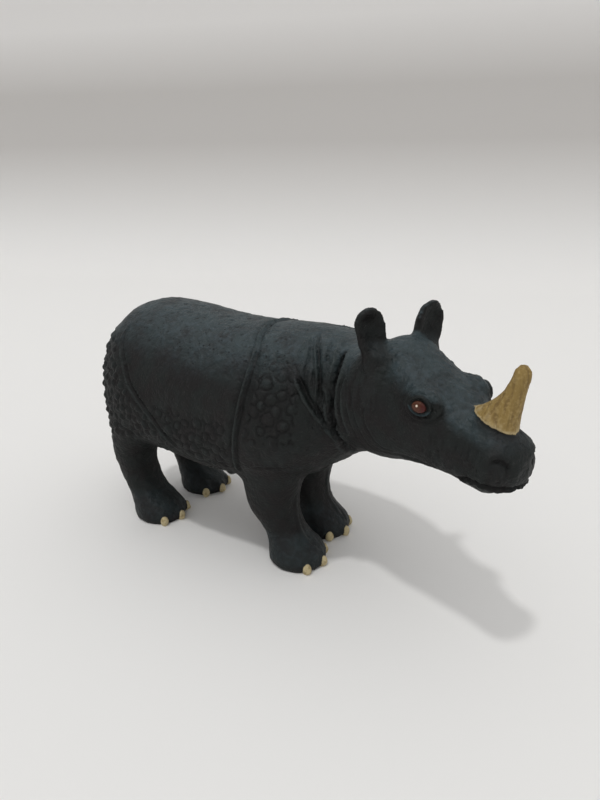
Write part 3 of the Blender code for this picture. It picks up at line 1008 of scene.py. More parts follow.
# wrinkles of the neck, the nape and the cheek
WRINKLES: tuple[Fold, ...] = (
    Fold(((46.5, 14.2, 94.7), (50.2, 18.4, 90.4), (54.6, 20.6, 85.0), (56.4, 21.8, 80.0), (56.5, 22.2, 75.5)),
         bead=0.7, bead_width=0.6, groove=0.85, gap=1.2, second=0.5),
    Fold(((59.0, 20.4, 86.0), (61.2, 20.0, 82.4), (66.4, 19.7, 76.1), (68.2, 18.8, 69.6), (69.8, 16.2, 63.3)),
         bead=0.6, bead_width=0.6, groove=0.8, gap=1.2, second=0.5),
    Fold(((62.6, 14.0, 91.5), (63.3, 16.6, 89.1), (65.8, 18.8, 82.4), (66.2, 19.2, 76.0)),
         bead=0.5, bead_width=0.6, groove=0.7, gap=1.15, second=0.4, ahead=-1),
    Fold(((41.4, 4.3, 98.5), (46.4, 14.2, 94.7), (49.4, 18.9, 89.8), (50.6, 21.6, 84.5)),
         bead=0.25, groove=0.55, gap=1.0),
    Fold(((49.5, 8.6, 96.9), (54.6, 16.0, 91.6), (57.6, 19.0, 86.6)), bead=0.35, groove=0.6, gap=1.0),
    Fold(((54.5, 6.0, 97.5), (58.5, 13.0, 93.2), (60.6, 17.0, 88.5)), bead=0.3, groove=0.55, gap=1.0),
    Fold(((64.2, 11.8, 94.0), (63.1, 16.0, 90.1), (62.2, 18.6, 85.0)), bead=0.3, groove=0.5, gap=1.0),
    Fold(((52.5, 23.6, 80.5), (56.0, 22.8, 75.5), (60.0, 21.6, 71.5)), bead=0.3, groove=0.5, gap=1.1),
    Fold(((72.2, 14.0, 88.5), (71.5, 18.0, 83.2), (71.8, 18.6, 78.0), (72.8, 18.2, 72.9), (74.3, 15.1, 64.0)),
         bead=0.6, bead_width=0.6, groove=0.9, gap=1.2, ahead=-1),
    Fold(((78.6, 17.7, 82.0), (78.4, 18.0, 78.5), (79.5, 17.7, 75.1), (82.7, 16.0, 68.5), (84.2, 13.9, 65.2)),
         bead=0.6, bead_width=0.7, groove=0.9, gap=1.2, ahead=-1),
    Fold(((75.0, 17.9, 82.5), (75.2, 18.2, 78.0), (76.5, 17.9, 72.5), (79.0, 16.2, 66.5)),
         bead=0.45, groove=0.7, gap=1.1, ahead=-1),
    Fold(((84.9, 17.1, 82.8), (84.0, 17.4, 76.6), (86.9, 16.4, 71.6), (90.3, 14.7, 68.5), (95.3, 14.3, 69.7)),
         bead=0.5, bead_width=0.7, groove=0.8, gap=1.2, ahead=-1),
    Fold(((84.5, 13.9, 66.0), (90.0, 12.6, 64.6), (100.0, 11.6, 65.5), (112.0, 9.6, 67.0)),
         bead=0.2, groove=0.5, groove_width=0.7, gap=1.0, fades=(8.0, 10.0)),
)

# creases of the legs and the rump
CREASES: tuple[Fold, ...] = (
    Fold(((24.8, 29.8, 47.5), (31.8, 29.0, 48.9), (40.7, 25.9, 49.9), (45.3, 22.3, 48.6)),
         bead=0.3, groove=0.7, groove_width=0.8, gap=1.1, ahead=-1),
    Fold(((43.9, 20.1, 45.2), (45.7, 15.2, 43.1), (50.1, 11.3, 44.2), (56.4, 12.1, 48.9)),
         bead=0.6, bead_width=0.8, groove=1.0, groove_width=0.8, gap=1.4, ahead=-1),
    Fold(((28.5, 21.4, 13.6), (32.0, 23.2, 15.2), (36.0, 22.0, 15.9), (39.0, 18.6, 15.4)),
         bead=0.2, bead_width=0.5, groove=0.4, groove_width=0.45, gap=0.9, fades=(3.0, 4.0)),
    Fold(((29.0, 22.0, 11.0), (32.5, 23.6, 12.6), (36.4, 22.6, 13.3), (40.0, 19.4, 13.0)),
         bead=0.2, bead_width=0.5, groove=0.4, groove_width=0.45, gap=0.9, fades=(3.0, 4.0)),
    Fold(((38.4, 14.0, 33.0), (38.2, 14.0, 26.0), (38.6, 14.2, 19.4), (42.2, 14.9, 12.9), (47.5, 13.4, 8.0)),
         bead=0.55, bead_width=0.9, groove=0.3, gap=1.6, second=0.3),
    Fold(((43.2, 17.2, 12.4), (46.4, 14.4, 9.7), (50.0, 12.6, 6.6)), bead=0.25, groove=0.4, gap=0.9),
    Fold(((41.4, 19.4, 11.2), (45.4, 17.0, 8.2), (48.4, 15.6, 5.8)), bead=0.25, groove=0.35, gap=0.9),
    Fold(((-38.6, 23.6, 13.4), (-36.6, 20.6, 14.2), (-33.5, 17.0, 12.8)), bead=0.25, groove=0.35, gap=0.9),
    Fold(((-37.5, 24.6, 11.0), (-34.5, 21.2, 11.4), (-31.0, 18.2, 9.6)), bead=0.3, groove=0.4, gap=0.9),
    Fold(((-59.0, 22.5, 71.7), (-53.0, 26.2, 74.0), (-47.2, 28.4, 75.9), (-43.4, 29.2, 77.0)),
         bead=0.5, bead_width=0.8, groove=0.8, groove_width=0.7, gap=1.2, ahead=-1),
    Fold(((-66.0, 10.0, 62.0), (-60.0, 17.5, 58.0), (-52.0, 24.0, 54.0)), bead=0.4, groove=0.6, gap=1.2),
)

# mouth, meeting its other half at the front of the nose
MOUTH = Fold(
    ((135.0, 0.0, 66.3), (133.6, 3.0, 66.6), (131.1, 6.8, 68.0), (125.4, 9.3, 68.6), (120.6, 8.9, 67.6),
     (117.5, 7.9, 66.6)),
    bead=0.5, bead_width=0.45, groove=1.3, groove_width=0.5, gap=0.95, ahead=-1, fades=(0.0, 3.0),
)


@dataclass(frozen=True)
class Dent:
    """A soft dent or swelling, mirrored to the other side."""

    middle: Place
    radius: float
    out: float


# temple, shoulder, haunch, flank, the muzzle's side behind the nostril, ahead of the ear's foot, and cheek
DENTS: tuple[Dent, ...] = (
    Dent((93.0, 16.0, 85.0), 6.0, -1.2),
    Dent((38.0, 29.0, 64.0), 17.0, 1.2),
    Dent((-45.0, 30.0, 60.0), 15.0, 1.0),
    Dent((2.0, 33.0, 62.0), 15.0, -1.2),
    Dent((120.0, 10.0, 80.0), 5.0, -1.0),
    Dent((88.6, 14.5, 92.2), 3.6, -0.9),
    Dent((97.0, 15.8, 77.5), 5.0, -0.6),
)


# edges of the plates again, as heights on the skin and how far along the edge lies there
HAUNCH_EDGE: tuple[Row, ...] = (
    (40.0, -4.0), (46.0, -9.5), (52.3, -16.2), (58.3, -22.1), (64.5, -28.6), (71.5, -34.8), (79.5, -39.2),
    (88.0, -43.0), (95.0, -38.6), (100.0, -35.0),
)
SHOULDER_EDGE: tuple[Row, ...] = (
    (39.0, 17.5), (49.3, 19.6), (60.5, 20.9), (68.3, 22.2), (74.5, 22.9), (81.0, 23.7), (87.4, 23.9),
    (92.1, 23.2), (96.5, 20.2),
)
LAPEL_EDGE: tuple[Row, ...] = (
    (54.0, 69.0), (60.0, 68.0), (65.6, 65.1), (71.5, 57.2), (77.2, 49.2), (82.4, 44.4), (85.5, 42.2),
    (97.0, 39.0),
)
NAPE_EDGE: tuple[Row, ...] = (
    (54.5, 68.0), (58.3, 69.4), (69.5, 69.6), (78.9, 68.8), (84.2, 68.6), (89.9, 67.9), (94.8, 64.1),
    (97.0, 62.6),
)


@dataclass(frozen=True)
class Body:
    """Where every point of the skin lies on the animal."""

    skin: np.ndarray
    along: np.ndarray
    side: np.ndarray
    up: np.ndarray
    upward: np.ndarray

    @classmethod
    def read(cls, skin: np.ndarray, normals: np.ndarray, spine: Spine) -> "Body":
        """Reads the places of the skin's points.

        Args:
            skin: The points, in metres.
            normals: The skin's outward directions.
            spine: The spine that carries the places.

        Returns:
            The reading, with the sideways places as distances from the spine.
        """
        along, side, up = spine.read(skin)
        return cls(skin, along, np.abs(side), up, normals[:, 2])

    def edge(self, rows: Sequence[Row]) -> np.ndarray:
        """How far along a plate's edge lies at each point's height."""
        return np.interp(self.up, *np.array(rows).T)

    def haunch(self) -> np.ndarray:
        """How far ahead of the haunch plate's edge each point is."""
        return self.along - self.edge(HAUNCH_EDGE)

    def shoulder(self) -> np.ndarray:
        """How far ahead of the shoulder plate's edge each point is."""
        return self.along - self.edge(SHOULDER_EDGE)

    def across_neck(self) -> np.ndarray:
        """How far each point is from the lapel, 0, to the deep groove behind the cheek, 1."""
        lapel = self.edge(LAPEL_EDGE)
        return (self.along - lapel) / np.maximum(self.edge(NAPE_EDGE) - lapel, 3.0)

    def roughened(self, reach: float, grain: float) -> np.ndarray:
        """The skin's points, each moved a little by noise, which makes round spots uneven.

        Args:
            reach: How far a point moves at most.
            grain: The size of the noise.

        Returns:
            The moved points, in metres.
        """
        moved = [noise.noise_vector(Vector(point) / (grain * MM)) for point in self.skin]
        return self.skin + np.array(moved) * reach * MM


class Zone(Enum):
    """The stretches of skin that have a grain of their own."""

    RUMP = "rump"
    LOW_FLANK = "low flank"
    FLANK = "flank"
    SHOULDER = "shoulder"
    SHOULDER_TOP = "top of the shoulder"
    SHOULDER_FOOT = "foot of the shoulder"
    FOREHEAD = "forehead"
    NECK = "neck"
    MUZZLE = "muzzle"
    BACK = "back"
    THIGH = "thigh"
    EAR_FOOT = "foot of the ear"

    def weight(self, body: Body) -> np.ndarray:
        """How strongly each point of the skin belongs to the zone.

        Args:
            body: The skin's points.

        Returns:
            0 outside, 1 well inside.
        """
        haunch, shoulder = body.haunch(), body.shoulder()
        up, along, side = body.up, body.along, body.side
        trunk = smooth_step(side, 8.0, 14.0)
        if self is Zone.RUMP:
            return (1 - smooth_step(haunch, -4.0, -2.0)) * band(up, 47.0, 86.0, 6.0)
        if self is Zone.THIGH:
            thigh = (1 - smooth_step(haunch, -4.0, -2.0)) * band(up, 34.0, 46.0, 7.0)
            return thigh * smooth_step(side, 14.0, 20.0)
        if self is Zone.LOW_FLANK:
            barrel = smooth_step(haunch, 4.0, 6.0) * (1 - smooth_step(shoulder, -4.0, -2.5))
            return barrel * band(up, 38.0, 63.0, 5.0)
        if self is Zone.FLANK:
            barrel = smooth_step(haunch, 5.0, 8.0) * (1 - smooth_step(shoulder, -8.0, -4.0))
            return barrel * band(up, 66.0, 76.0, 5.0)
        if self is Zone.SHOULDER:
            plate = smooth_step(shoulder, 3.0, 5.0) * (1 - smooth_step(along, 44.0, 48.0))
            return plate * band(up, 60.0, 83.0, 3.0)
        if self is Zone.SHOULDER_TOP:
            plate = smooth_step(shoulder, 3.0, 5.0) * (1 - smooth_step(along, 40.0, 46.0))
            return plate * band(up, 85.0, 90.0, 3.0)
        if self is Zone.SHOULDER_FOOT:
            plate = smooth_step(shoulder, 2.0, 4.0) * (1 - smooth_step(along, 52.0, 60.0))
            return plate * band(up, 48.0, 60.0, 4.0)
        if self is Zone.FOREHEAD:
            facing_up = band(along, 84.0, 118.0, 5.0) * smooth_step(body.upward, 0.1, 0.45)
            return facing_up * (1 - smooth_step(up, 99.5, 103.0))
        if self is Zone.NECK:
            return band(body.across_neck(), 0.12, 0.92, 0.08) * band(up, 60.0, 95.0, 5.0) * trunk
        if self is Zone.EAR_FOOT:
            return band(along, 73.0, 86.0, 3.0) * band(up, 80.0, 93.0, 4.0) * trunk
        if self is Zone.MUZZLE:
            return band(along, 110.0, 134.0, 7.0) * band(up, 69.0, 78.0, 4.0)
        top = band(along, -50.0, 40.0, 8.0) * smooth_step(up, 78.0, 90.0)
        return top * smooth_step(body.upward, 0.0, 0.5)


@dataclass(frozen=True)
class Spots:
    """A field of round spots, raised or sunk, each with a faint moat round it.

    Their outlines wobble by a share of their size. Their gaps and heights vary from spot to spot.
    """

    zone: Zone
    spacing: float
    radii: tuple[float, float]
    height: float
    moat: float = 0.0
    moat_width: float = 0.4
    seed: int = 1
    wobble: float = 0.34
    wobble_size: float = 1.7
    nearest: float = 0.9
    looseness: float = 0.25
    strengths: tuple[float, float] = (0.35, 1.15)

    def heights(self, body: Body) -> np.ndarray:
        """How far the spots move each point of the skin out.

        Args:
            body: The skin's points.

        Returns:
            Millimetres.
        """
        weight = self.zone.weight(body)
        chosen = np.flatnonzero(weight > 0.02)
        chance = np.random.default_rng(self.seed)
        waiting = chance.permutation(chosen[weight[chosen] > 0.3])
        spread = body.roughened(self.wobble * self.radii[1], self.wobble_size * self.radii[1])
        middles = []
        while len(waiting):
            middle = spread[waiting[0]]
            middles.append(middle)
            away = np.linalg.norm(spread[waiting] - middle, axis=1) / MM
            waiting = waiting[away > self.spacing * (self.nearest + self.looseness * chance.random())]
        radii = chance.uniform(*self.radii, len(middles))
        strengths = chance.uniform(*self.strengths, len(middles)) * self.height
        tree = tree_of(middles)
        found = [tree.find(point)[1:] for point in spread[chosen]]
        nearest = np.array([index for index, _ in found])
        away = np.array([distance for _, distance in found]) / MM
        share = np.clip(away / radii[nearest], 0, 1)
        height = strengths[nearest] * (1 - share**2) ** 1.5
        height -= self.moat * ridge(away, radii[nearest] * 1.06, self.moat_width)
        moves = np.zeros(len(body.skin))
        moves[chosen] = height * weight[chosen]
        return moves


@dataclass(frozen=True)
class Streaks:
    """A field of short soft ridges of a length and height.

    They lie a width apart and lean forwards. Where folds is set, so many lie side by side across the neck.
    """

    zone: Zone
    length: float
    height: float
    width: float = 1.5
    lean: float = 0.0
    folds: float = 0.0
    depth: float = 2.2

    def heights(self, body: Body) -> np.ndarray:
        """How far the streaks move each point of the skin out.

        Args:
            body: The skin's points.

        Returns:
            Millimetres.
        """
        weight = self.zone.weight(body)
        chosen = np.flatnonzero(weight > 0.02)
        across = (body.along - self.lean * body.up)[chosen] / self.width
        if self.folds:
            across = body.across_neck()[chosen] * self.folds
        onward = (body.up + self.lean * body.along)[chosen] / self.length
        aside = np.sign(body.skin[chosen, 1]) * 7 + body.side[chosen] / self.length
        rough = [noise.noise(Vector(spot)) for spot in zip(across, onward, aside)]
        moves = np.zeros(len(body.skin))
        moves[chosen] = (1 - self.depth * np.abs(np.array(rough))) * self.height * weight[chosen]
        return moves


# pebbles of the plates, pits of the back, and wrinkles. The real skin is finer still: what would be under two
# pixels wide in the photograph is drawn coarser, so that it shows.
GRAINS: tuple[Spots | Streaks, ...] = (
    Spots(Zone.RUMP, 3.3, (1.7, 2.2), 0.95, 0.25, seed=3),
    Spots(Zone.THIGH, 3.4, (1.4, 1.9), 0.3, 0.15, seed=8),
    Spots(Zone.LOW_FLANK, 3.8, (1.6, 2.4), 0.65, 0.45, seed=5),
    Spots(Zone.FLANK, 6.6, (2.0, 2.8), 0.16, 0.12, seed=6),
    Spots(Zone.SHOULDER, 4.2, (1.6, 2.7), 0.65, 0.5, seed=11),
    Spots(Zone.SHOULDER, 2.4, (0.9, 1.2), 0.22, 0.12, seed=21),
    Spots(Zone.SHOULDER_TOP, 2.7, (1.0, 1.4), 0.3, 0.2, seed=12),
    Spots(Zone.FOREHEAD, 2.2, (0.9, 1.3), 0.3, 0.1, seed=14),
    Spots(Zone.BACK, 3.0, (0.9, 1.2), -0.25, 0.0, seed=15),
    Streaks(Zone.SHOULDER_FOOT, 7.0, 0.45, width=2.2, lean=-0.2),
    Streaks(Zone.NECK, 16.0, 1.5, folds=11.0),
    Streaks(Zone.EAR_FOOT, 14.0, 0.8, width=2.0, lean=-0.1),
    Streaks(Zone.MUZZLE, 6.0, 0.4, width=1.3),
)


@dataclass(frozen=True)
class Eye:
    """One eye: an opening with an eyeball, lids, and the pouch below it.

    Distances go out from its opening. The lids' rows are ridges and grooves: height, distance, width.
    """

    place: Place = (105.8, 14.5, 87.4)
    half_length: float = 2.75
    above: float = 2.4
    below: float = 1.85
    corner: float = 1.85
    middle: float = 2.35
    tilt: float = math.radians(8)
    reach: float = 7.5
    # where the painted highlight sits, from the eye's middle
    glint: tuple[float, float] = (-0.35, 0.7)
    set_in: float = 0.35
    bulge: float = 0.6
    gap: float = 0.7
    upper_lid: tuple[Row, ...] = ((0.5, 0.85, 0.42), (-0.6, 1.65, 0.38), (0.2, 2.6, 0.7))
    lower_lid: tuple[Row, ...] = (
        (0.5, 0.8, 0.42),
        (-0.55, 1.75, 0.4),
        (0.45, 2.8, 0.55),
        (-0.4, 4.1, 0.45),
        (0.3, 5.3, 0.6),
    )

    def out_of_opening(self, ahead: np.ndarray, up: np.ndarray) -> np.ndarray:
        """How far outside the almond of the opening a place is.

        Args:
            ahead: Its place ahead of the eye's middle.
            up: Its place above it.

        Returns:
            Millimetres, negative inside.
        """
        half_height = np.where(up > 0, self.above, self.below)
        level = np.abs(ahead / self.half_length) ** self.corner
        reach = level + np.abs(up / half_height) ** self.corner
        return (reach ** (1 / self.corner) - 1) * self.middle

    def height(self, away: np.ndarray, up: np.ndarray) -> np.ndarray:
        """How far the eye and its lids move the skin out.

        Args:
            away: How far outside the opening each point is.
            up: Its place above the eye's middle.

        Returns:
            Millimetres.
        """
        upper = smooth_step(up, -0.8, 0.8)
        ball_share = np.clip(1 + away / self.middle, 0, 1)
        height = -self.set_in * (1 - smooth_step(away, 1.0, 4.0))
        height += self.bulge * np.sqrt(1 - 0.97 * ball_share**2) * (away < 0.3)
        height -= self.gap * ridge(away, 0.05, 0.28)
        for share, lid in ((upper, self.upper_lid), (1 - upper, self.lower_lid)):
            height += share * sum(rise * ridge(away, distance, width) for rise, distance, width in lid)
        return height


@dataclass(frozen=True)
class Nostril:
    """One nostril, an arched hollow under a soft brow. Only its upper part is dark inside, with painted shade.
    """

    place: Place = (131.7, 6.9, 77.3)
    half_length: float = 3.4
    brow_up: float = 1.1
    arch: float = 0.14
    fall: float = 2.6
    dark_fall: float = 1.4
    depth: float = 1.9

    def height(self, patch: Patch, skin: np.ndarray) -> tuple[np.ndarray, np.ndarray]:
        """How far the nostril moves the skin out, and how much painted shade lies inside it at each point.

        Args:
            patch: The nostril's frame on the skin.
            skin: The points, in metres.

        Returns:
            Millimetres, and the painted shade: 1 at the nostril's middle falling to 0 at its rim.
        """
        ahead, up, out = patch.read(skin)
        below = self.brow_up - up - self.arch * ahead**2
        across = 1 - smooth_step(np.abs(ahead), 0.7 * self.half_length, self.half_length)
        near = (np.abs(out) < 5) & (np.abs(ahead) < 6) & (np.abs(up) < 7)
        deep = smooth_step(below, -0.1, 0.7) * np.exp(-below.clip(min=0) / self.fall) * across * near
        # painted shade in the nostril's upper part, fading downwards
        dark = smooth_step(below, -0.1, 0.4) * np.exp(-below.clip(min=0) / self.dark_fall) * across * near
        return -self.depth * deep, dark


@dataclass
class Figurine:
    """The whole moulding: forms fused into one skin, refined where it is carved, and carved.

    The photograph shows the left brow further in and the left eye's relief lower. The reaches say how far
    from carved lines, nails and eyes the skin's faces are split. The swells are sizes and heights of soft
    noise.
    """

    spine: Spine
    body_grain: float = 1.3
    body_rounds: int = 6
    skin_grain: float = 1.27
    skin_rounds: int = 3
    brow: Place = (103.6, 11.8, 87.5)
    brow_radii: Place = (7.2, 5.0, 5.5)
    left_brow_in: float = 1.1
    left_eye_relief: float = 0.7
    eye: Eye = Eye()
    nostril: Nostril = Nostril()
    line_reach: float = 2.4
    nail_reach: float = 4.4
    eye_reach: float = 5.6
    bumpy: tuple[Zone, ...] = (Zone.LOW_FLANK, Zone.SHOULDER, Zone.SHOULDER_TOP, Zone.RUMP, Zone.NECK)
    chin_back: float = 2.6
    chin_up: tuple[float, float] = (65.6, 67.6)
    chin_along: tuple[float, float] = (124.5, 131.0)
    tail_up: tuple[float, float] = (46.0, 84.0)
    tail_edge: float = 4.6
    tail_groove: float = 1.0
    swells: tuple[tuple[float, float], ...] = ((9.0, 0.3), (3.0, 0.28))

    def base(self) -> bpy.types.Object:
        """Fuses the forms into one smooth skin.

        Returns:
            The skin before carving.
        """
        legs = Legs(self.spine)
        flesh = [Trunk(self.spine).build(), Tail(self.spine).build(), *legs.toes()]
        flesh += [legs.leg(foot) for foot in legs.feet()]
        for side in Side:
            outward = self.brow[1] - (self.left_brow_in if side is Side.LEFT else 0.0)
            place = self.spine.place(self.brow[0], side.value * outward, self.brow[2])
            flesh.append(ball(f"brow_{side.name.lower()}", place, self.brow_radii, -self.spine.turn))
        body = fused("body", flesh, self.body_grain, self.body_rounds)
        parts = [body, Horn(self.spine).build(), *(Ear(self.spine, side).build() for side in Side)]
        for middle, turn in legs.nails():
            angles = turn.to_euler()
            parts.append(ball("nail", middle, legs.nail_radii, angles.z, angles.y))
        return fused(f"{NODE}_skin", parts, self.skin_grain, self.skin_rounds)

    def refine(self, skin: bpy.types.Object, near: Callable[[np.ndarray], np.ndarray]) -> None:
        """Splits the skin's faces where it is to be carved, and relaxes the new points.

        Args:
            skin: The skin.
            near: Says of many points, in metres, which of them are to have finer faces round them.
        """
        mesh = bmesh.new()
        mesh.from_mesh(skin.data)
        chosen = near(np.array([vertex.co for vertex in mesh.verts]))
        edges = [edge for edge in mesh.edges if all(chosen[vertex.index] for vertex in edge.verts)]
        split = bmesh.ops.subdivide_edges(mesh, edges=edges, cuts=1, use_grid_fill=True)
        fresh = [element for element in split["geom_inner"] if isinstance(element, bmesh.types.BMVert)]
        axes = {"use_axis_x": True, "use_axis_y": True, "use_axis_z": True}
        for _ in range(2):
            bmesh.ops.smooth_vert(mesh, verts=fresh, factor=0.5, **axes)
        mesh.to_mesh(skin.data)
        mesh.free()

    def carved_places(self, traces: Sequence[tuple[Fold, Trace]]) -> Callable[[np.ndarray], np.ndarray]:
        """Makes the test for the first refining: carved lines, nails, head, ears and the bumpy zones.

        Args:
            traces: The folds and their paths on the skin.

        Returns:
            A function that says of many points, in metres, which of them get finer faces.
        """
        near_lines = close_to([point for _, trace in traces for point in trace.points], self.line_reach)
        near_nails = close_to([middle for middle, _ in Legs(self.spine).nails()], self.nail_reach)

        def chosen(many: np.ndarray) -> np.ndarray:
            """Says which points get finer faces.

            Args:
                many: The points, in metres.

            Returns:
                True for each of them that does.
            """
            body = Body.read(many, np.tile((0.0, 0.0, 1.0), (len(many), 1)), self.spine)
            zones = np.max([zone.weight(body) for zone in self.bumpy], axis=0)
            head = (body.along > 86) & (body.up > 64) & (body.up < 99)
            ears = (body.up > 97) & (body.along > 70) & (body.along < 95)
            return head | ears | (zones > 0.75) | near_lines(many) | near_nails(many)

        return chosen

    def build(self) -> bpy.types.Object:
        """Makes the whole figurine.

        Returns:
            Its finished skin.
        """
        skin = self.base()
        tree = BVHTree.FromObject(skin, bpy.context.evaluated_depsgraph_get())
        traces = [
            (fold, Trace.lay(fold.path, side, self.spine, tree))
            for fold in (*PLATES, *WRINKLES, *CREASES, MOUTH)
            for side in fold.sides()
        ]
        eyes = {side: Patch.lay(self.eye.place, side, self.spine, tree, self.eye.tilt) for side in Side}
        nostrils = [Patch.lay(self.nostril.place, side, self.spine, tree) for side in Side]
        self.refine(skin, self.carved_places(traces))
        self.refine(skin, close_to([patch.middle for patch in eyes.values()], self.eye_reach))
        self.carve(skin, traces, eyes, nostrils)
        self.stand_flat(skin)
        skin.data.shade_smooth()
        return skin

    def carve_eyes(
        self, points: np.ndarray, eyes: dict[Side, Patch]
    ) -> tuple[np.ndarray, dict[str, np.ndarray]]:
        """Works out the relief of the eyes, and what their paint follows.

        Args:
            points: The skin's points, in metres.
            eyes: The eyes' frames.

        Returns:
            How far each point moves out, and the readings for the paint by name.
        """
        form = np.zeros(len(points))
        lens = np.full(len(points), FAR)
        glint = np.full(len(points), FAR)
        pouch = np.zeros(len(points))
        iris = np.zeros(len(points))
        for side, patch in eyes.items():
            relief = self.left_eye_relief if side is Side.LEFT else 1.0
            ahead, up, out = patch.read(points)
            close = (np.hypot(ahead, up) < self.eye.reach) & (np.abs(out) < 4)
            away = np.where(close, self.eye.out_of_opening(ahead, up), FAR)
            form += np.where(close, self.eye.height(away, up), 0.0) * relief
            # the painted highlight on the eye: how far from its middle
            from_glint = np.hypot(ahead - self.eye.glint[0], up - self.eye.glint[1])
            lens = np.minimum(lens, away)
            glint = np.minimum(glint, np.where(close, from_glint, FAR))
            iris += np.where(close, ahead, 0.0)
            pouch += np.where(close, ridge(away, 0.8, 0.5) * (1 - smooth_step(up, -0.9, 0.2)), 0.0)
        return form, {"eye_mm": lens, "glint_mm": glint, "pouch": pouch, "iris_mm": iris}

    def carve(
        self,
        skin: bpy.types.Object,
        traces: Sequence[tuple[Fold, Trace]],
        eyes: dict[Side, Patch],
        nostrils: Sequence[Patch],
    ) -> None:
        """Moves the skin's points in and out, and notes what the paint follows.

        Args:
            skin: The smooth skin.
            traces: The folds and their paths on the skin.
            eyes: The eyes' frames.
            nostrils: The nostrils' frames.
        """
        count = len(skin.data.vertices)
        points, normals = np.empty(count * 3), np.empty(count * 3)
        skin.data.vertices.foreach_get("co", points)
        skin.data.vertex_normals.foreach_get("vector", normals)
        points, normals = points.reshape(count, 3), normals.reshape(count, 3)
        body = Body.read(points, normals, self.spine)

        nail = Legs(self.spine).on_nails(points)
        horn = Horn(self.spine).inside(points)
        form, eye_notes = self.carve_eyes(points, eyes)
        # painted shade inside the nostrils
        hollow = np.zeros(count)
        for patch in nostrils:
            moves, inside = self.nostril.height(patch, points)
            form += moves
            hollow += inside

        # the painted forms and the tail stay smooth: folds, grain and swells fade out on them
        lens = eye_notes["eye_mm"]
        hard = np.maximum(smooth_step(nail, -1.2, -0.2), smooth_step(horn, -0.9, 0.0))
        soft = 1 - np.maximum(hard, 1 - smooth_step(lens, 2.0, 5.0))
        behind = smooth_step(-body.along, 58.0, 64.0) * band(body.up, *self.tail_up, 4.0)
        form -= self.tail_groove * ridge(body.side, self.tail_edge, 1.0) * behind
        soft *= 1 - behind * (1 - smooth_step(body.side, self.tail_edge - 0.8, self.tail_edge + 0.6))

        lines = sum((fold.height(trace, points) for fold, trace in traces), np.zeros(count))
        grain = sum((field.heights(body) for field in GRAINS), np.zeros(count)) * soft
        grain *= 1 - 0.75 * smooth_step(-lines, 0.25, 0.7)
        for side in Side:
            for dent in DENTS:
                middle = self.spine.place(dent.middle[0], side.value * dent.middle[1], dent.middle[2])
                away = np.linalg.norm(points - np.array(middle), axis=1) / MM
                form += dent.out * ridge(away, 0.0, dent.radius)
        form += 0.35 * smooth_step(nail, -0.1, 0.35) - 0.45 * ridge(nail, -0.35, 0.35)
        form += 0.35 * smooth_step(horn, -0.15, 0.35) - 0.35 * ridge(horn, -0.6, 0.45)
        chin = (1 - smooth_step(body.up, *self.chin_up)) * smooth_step(body.along, *self.chin_along)
        form -= self.chin_back * chin
        for size, height in self.swells:
            rough = [noise.noise(Vector(point) / (size * MM)) for point in points]
            form += height * np.array(rough) * soft

        total = form + lines * soft + grain
        points += normals * total[:, None] * MM
        skin.data.vertices.foreach_set("co", points.ravel())
        notes = {
            "horn_mm": horn,
            "nail_mm": nail,
            **eye_notes,
            # painted shade inside the nostrils
            "hollow": hollow,
            "line_mm": lines * soft,
            "grain_mm": grain,
            "back": Zone.BACK.weight(body),
            # painted light: a paler sheen on the tops of the forms, where the light falls
            "painted_top_light": self.painted_top_light(body, lens, hollow),
        }
        for name, values in notes.items():
            layer = skin.data.attributes.new(name, "FLOAT", "POINT")
            layer.data.foreach_set("value", values.astype(np.float32))
        skin.data.update()

    def painted_top_light(self, body: Body, lens: np.ndarray, hollow: np.ndarray) -> np.ndarray:
        """How strongly the painted top light lies on each point: a painted sheen on the tops of the forms,
        kept off the hollows.

        Args:
            body: The skin's points before carving.
            lens: How far outside the eye's opening they are.
            hollow: How much painted shade lies on them in a nostril.

        Returns:
            0 where there is none, 1 where it is full.
        """
        # painted sheen, stronger the more the smooth skin faces up, on the head and the tops of the feet too
        top = smooth_step(body.upward, 0.25, 0.95)
        head = smooth_step(body.along, 84.0, 92.0)
        top = top * (1 - head) + 0.9 * smooth_step(body.upward, 0.32, 0.78) * head
        top *= 1 - 0.6 * smooth_step(body.along, 117.0, 127.0)
        foot = band(body.up, 5.0, 13.0, 4.0)
        top = np.maximum(top * smooth_step(body.up, 0.0, 60.0), 0.25 * foot)
        top *= smooth_step(lens, 1.0, 2.0)
        # painted shade below the ear's foot: most of the painted sheen is taken off there
        ear = band(body.along, 74.0, 87.0, 2.5) * smooth_step(body.side, 8.0, 11.0)
        ear *= smooth_step(body.up, 84.0, 90.0)
        return top * (1 - 0.8 * ear) * (1 - hollow.clip(0, 1))

    def stand_flat(self, skin: bpy.types.Object) -> None:
        """Cuts the soles flat at the ground.

        Args:
            skin: The carved skin.
        """
        mesh = bmesh.new()
        mesh.from_mesh(skin.data)
        everything = [*mesh.verts, *mesh.edges, *mesh.faces]
        ground = {"plane_co": (0, 0, 0), "plane_no": (0, 0, -1)}
        cut = bmesh.ops.bisect_plane(mesh, geom=everything, clear_outer=True, **ground)
        rims = [element for element in cut["geom_cut"] if isinstance(element, bmesh.types.BMEdge)]
        bmesh.ops.edgeloop_fill(mesh, edges=rims)
        bmesh.ops.recalc_face_normals(mesh, faces=mesh.faces)
        mesh.to_mesh(skin.data)
        mesh.free()


def linear(colour: str) -> tuple[float, float, float, float]:
    """An sRGB hex colour as the linear colour that the shaders use.

    Args:
        colour: The colour, such as "#202528".

    Returns:
        Its linear red, green and blue, and an alpha of 1.
    """
    parts = (int(colour[i : i + 2], 16) / 255 for i in (1, 3, 5))
    return (*(p / 12.92 if p <= 0.04045 else ((p + 0.055) / 1.055) ** 2.4 for p in parts), 1.0)


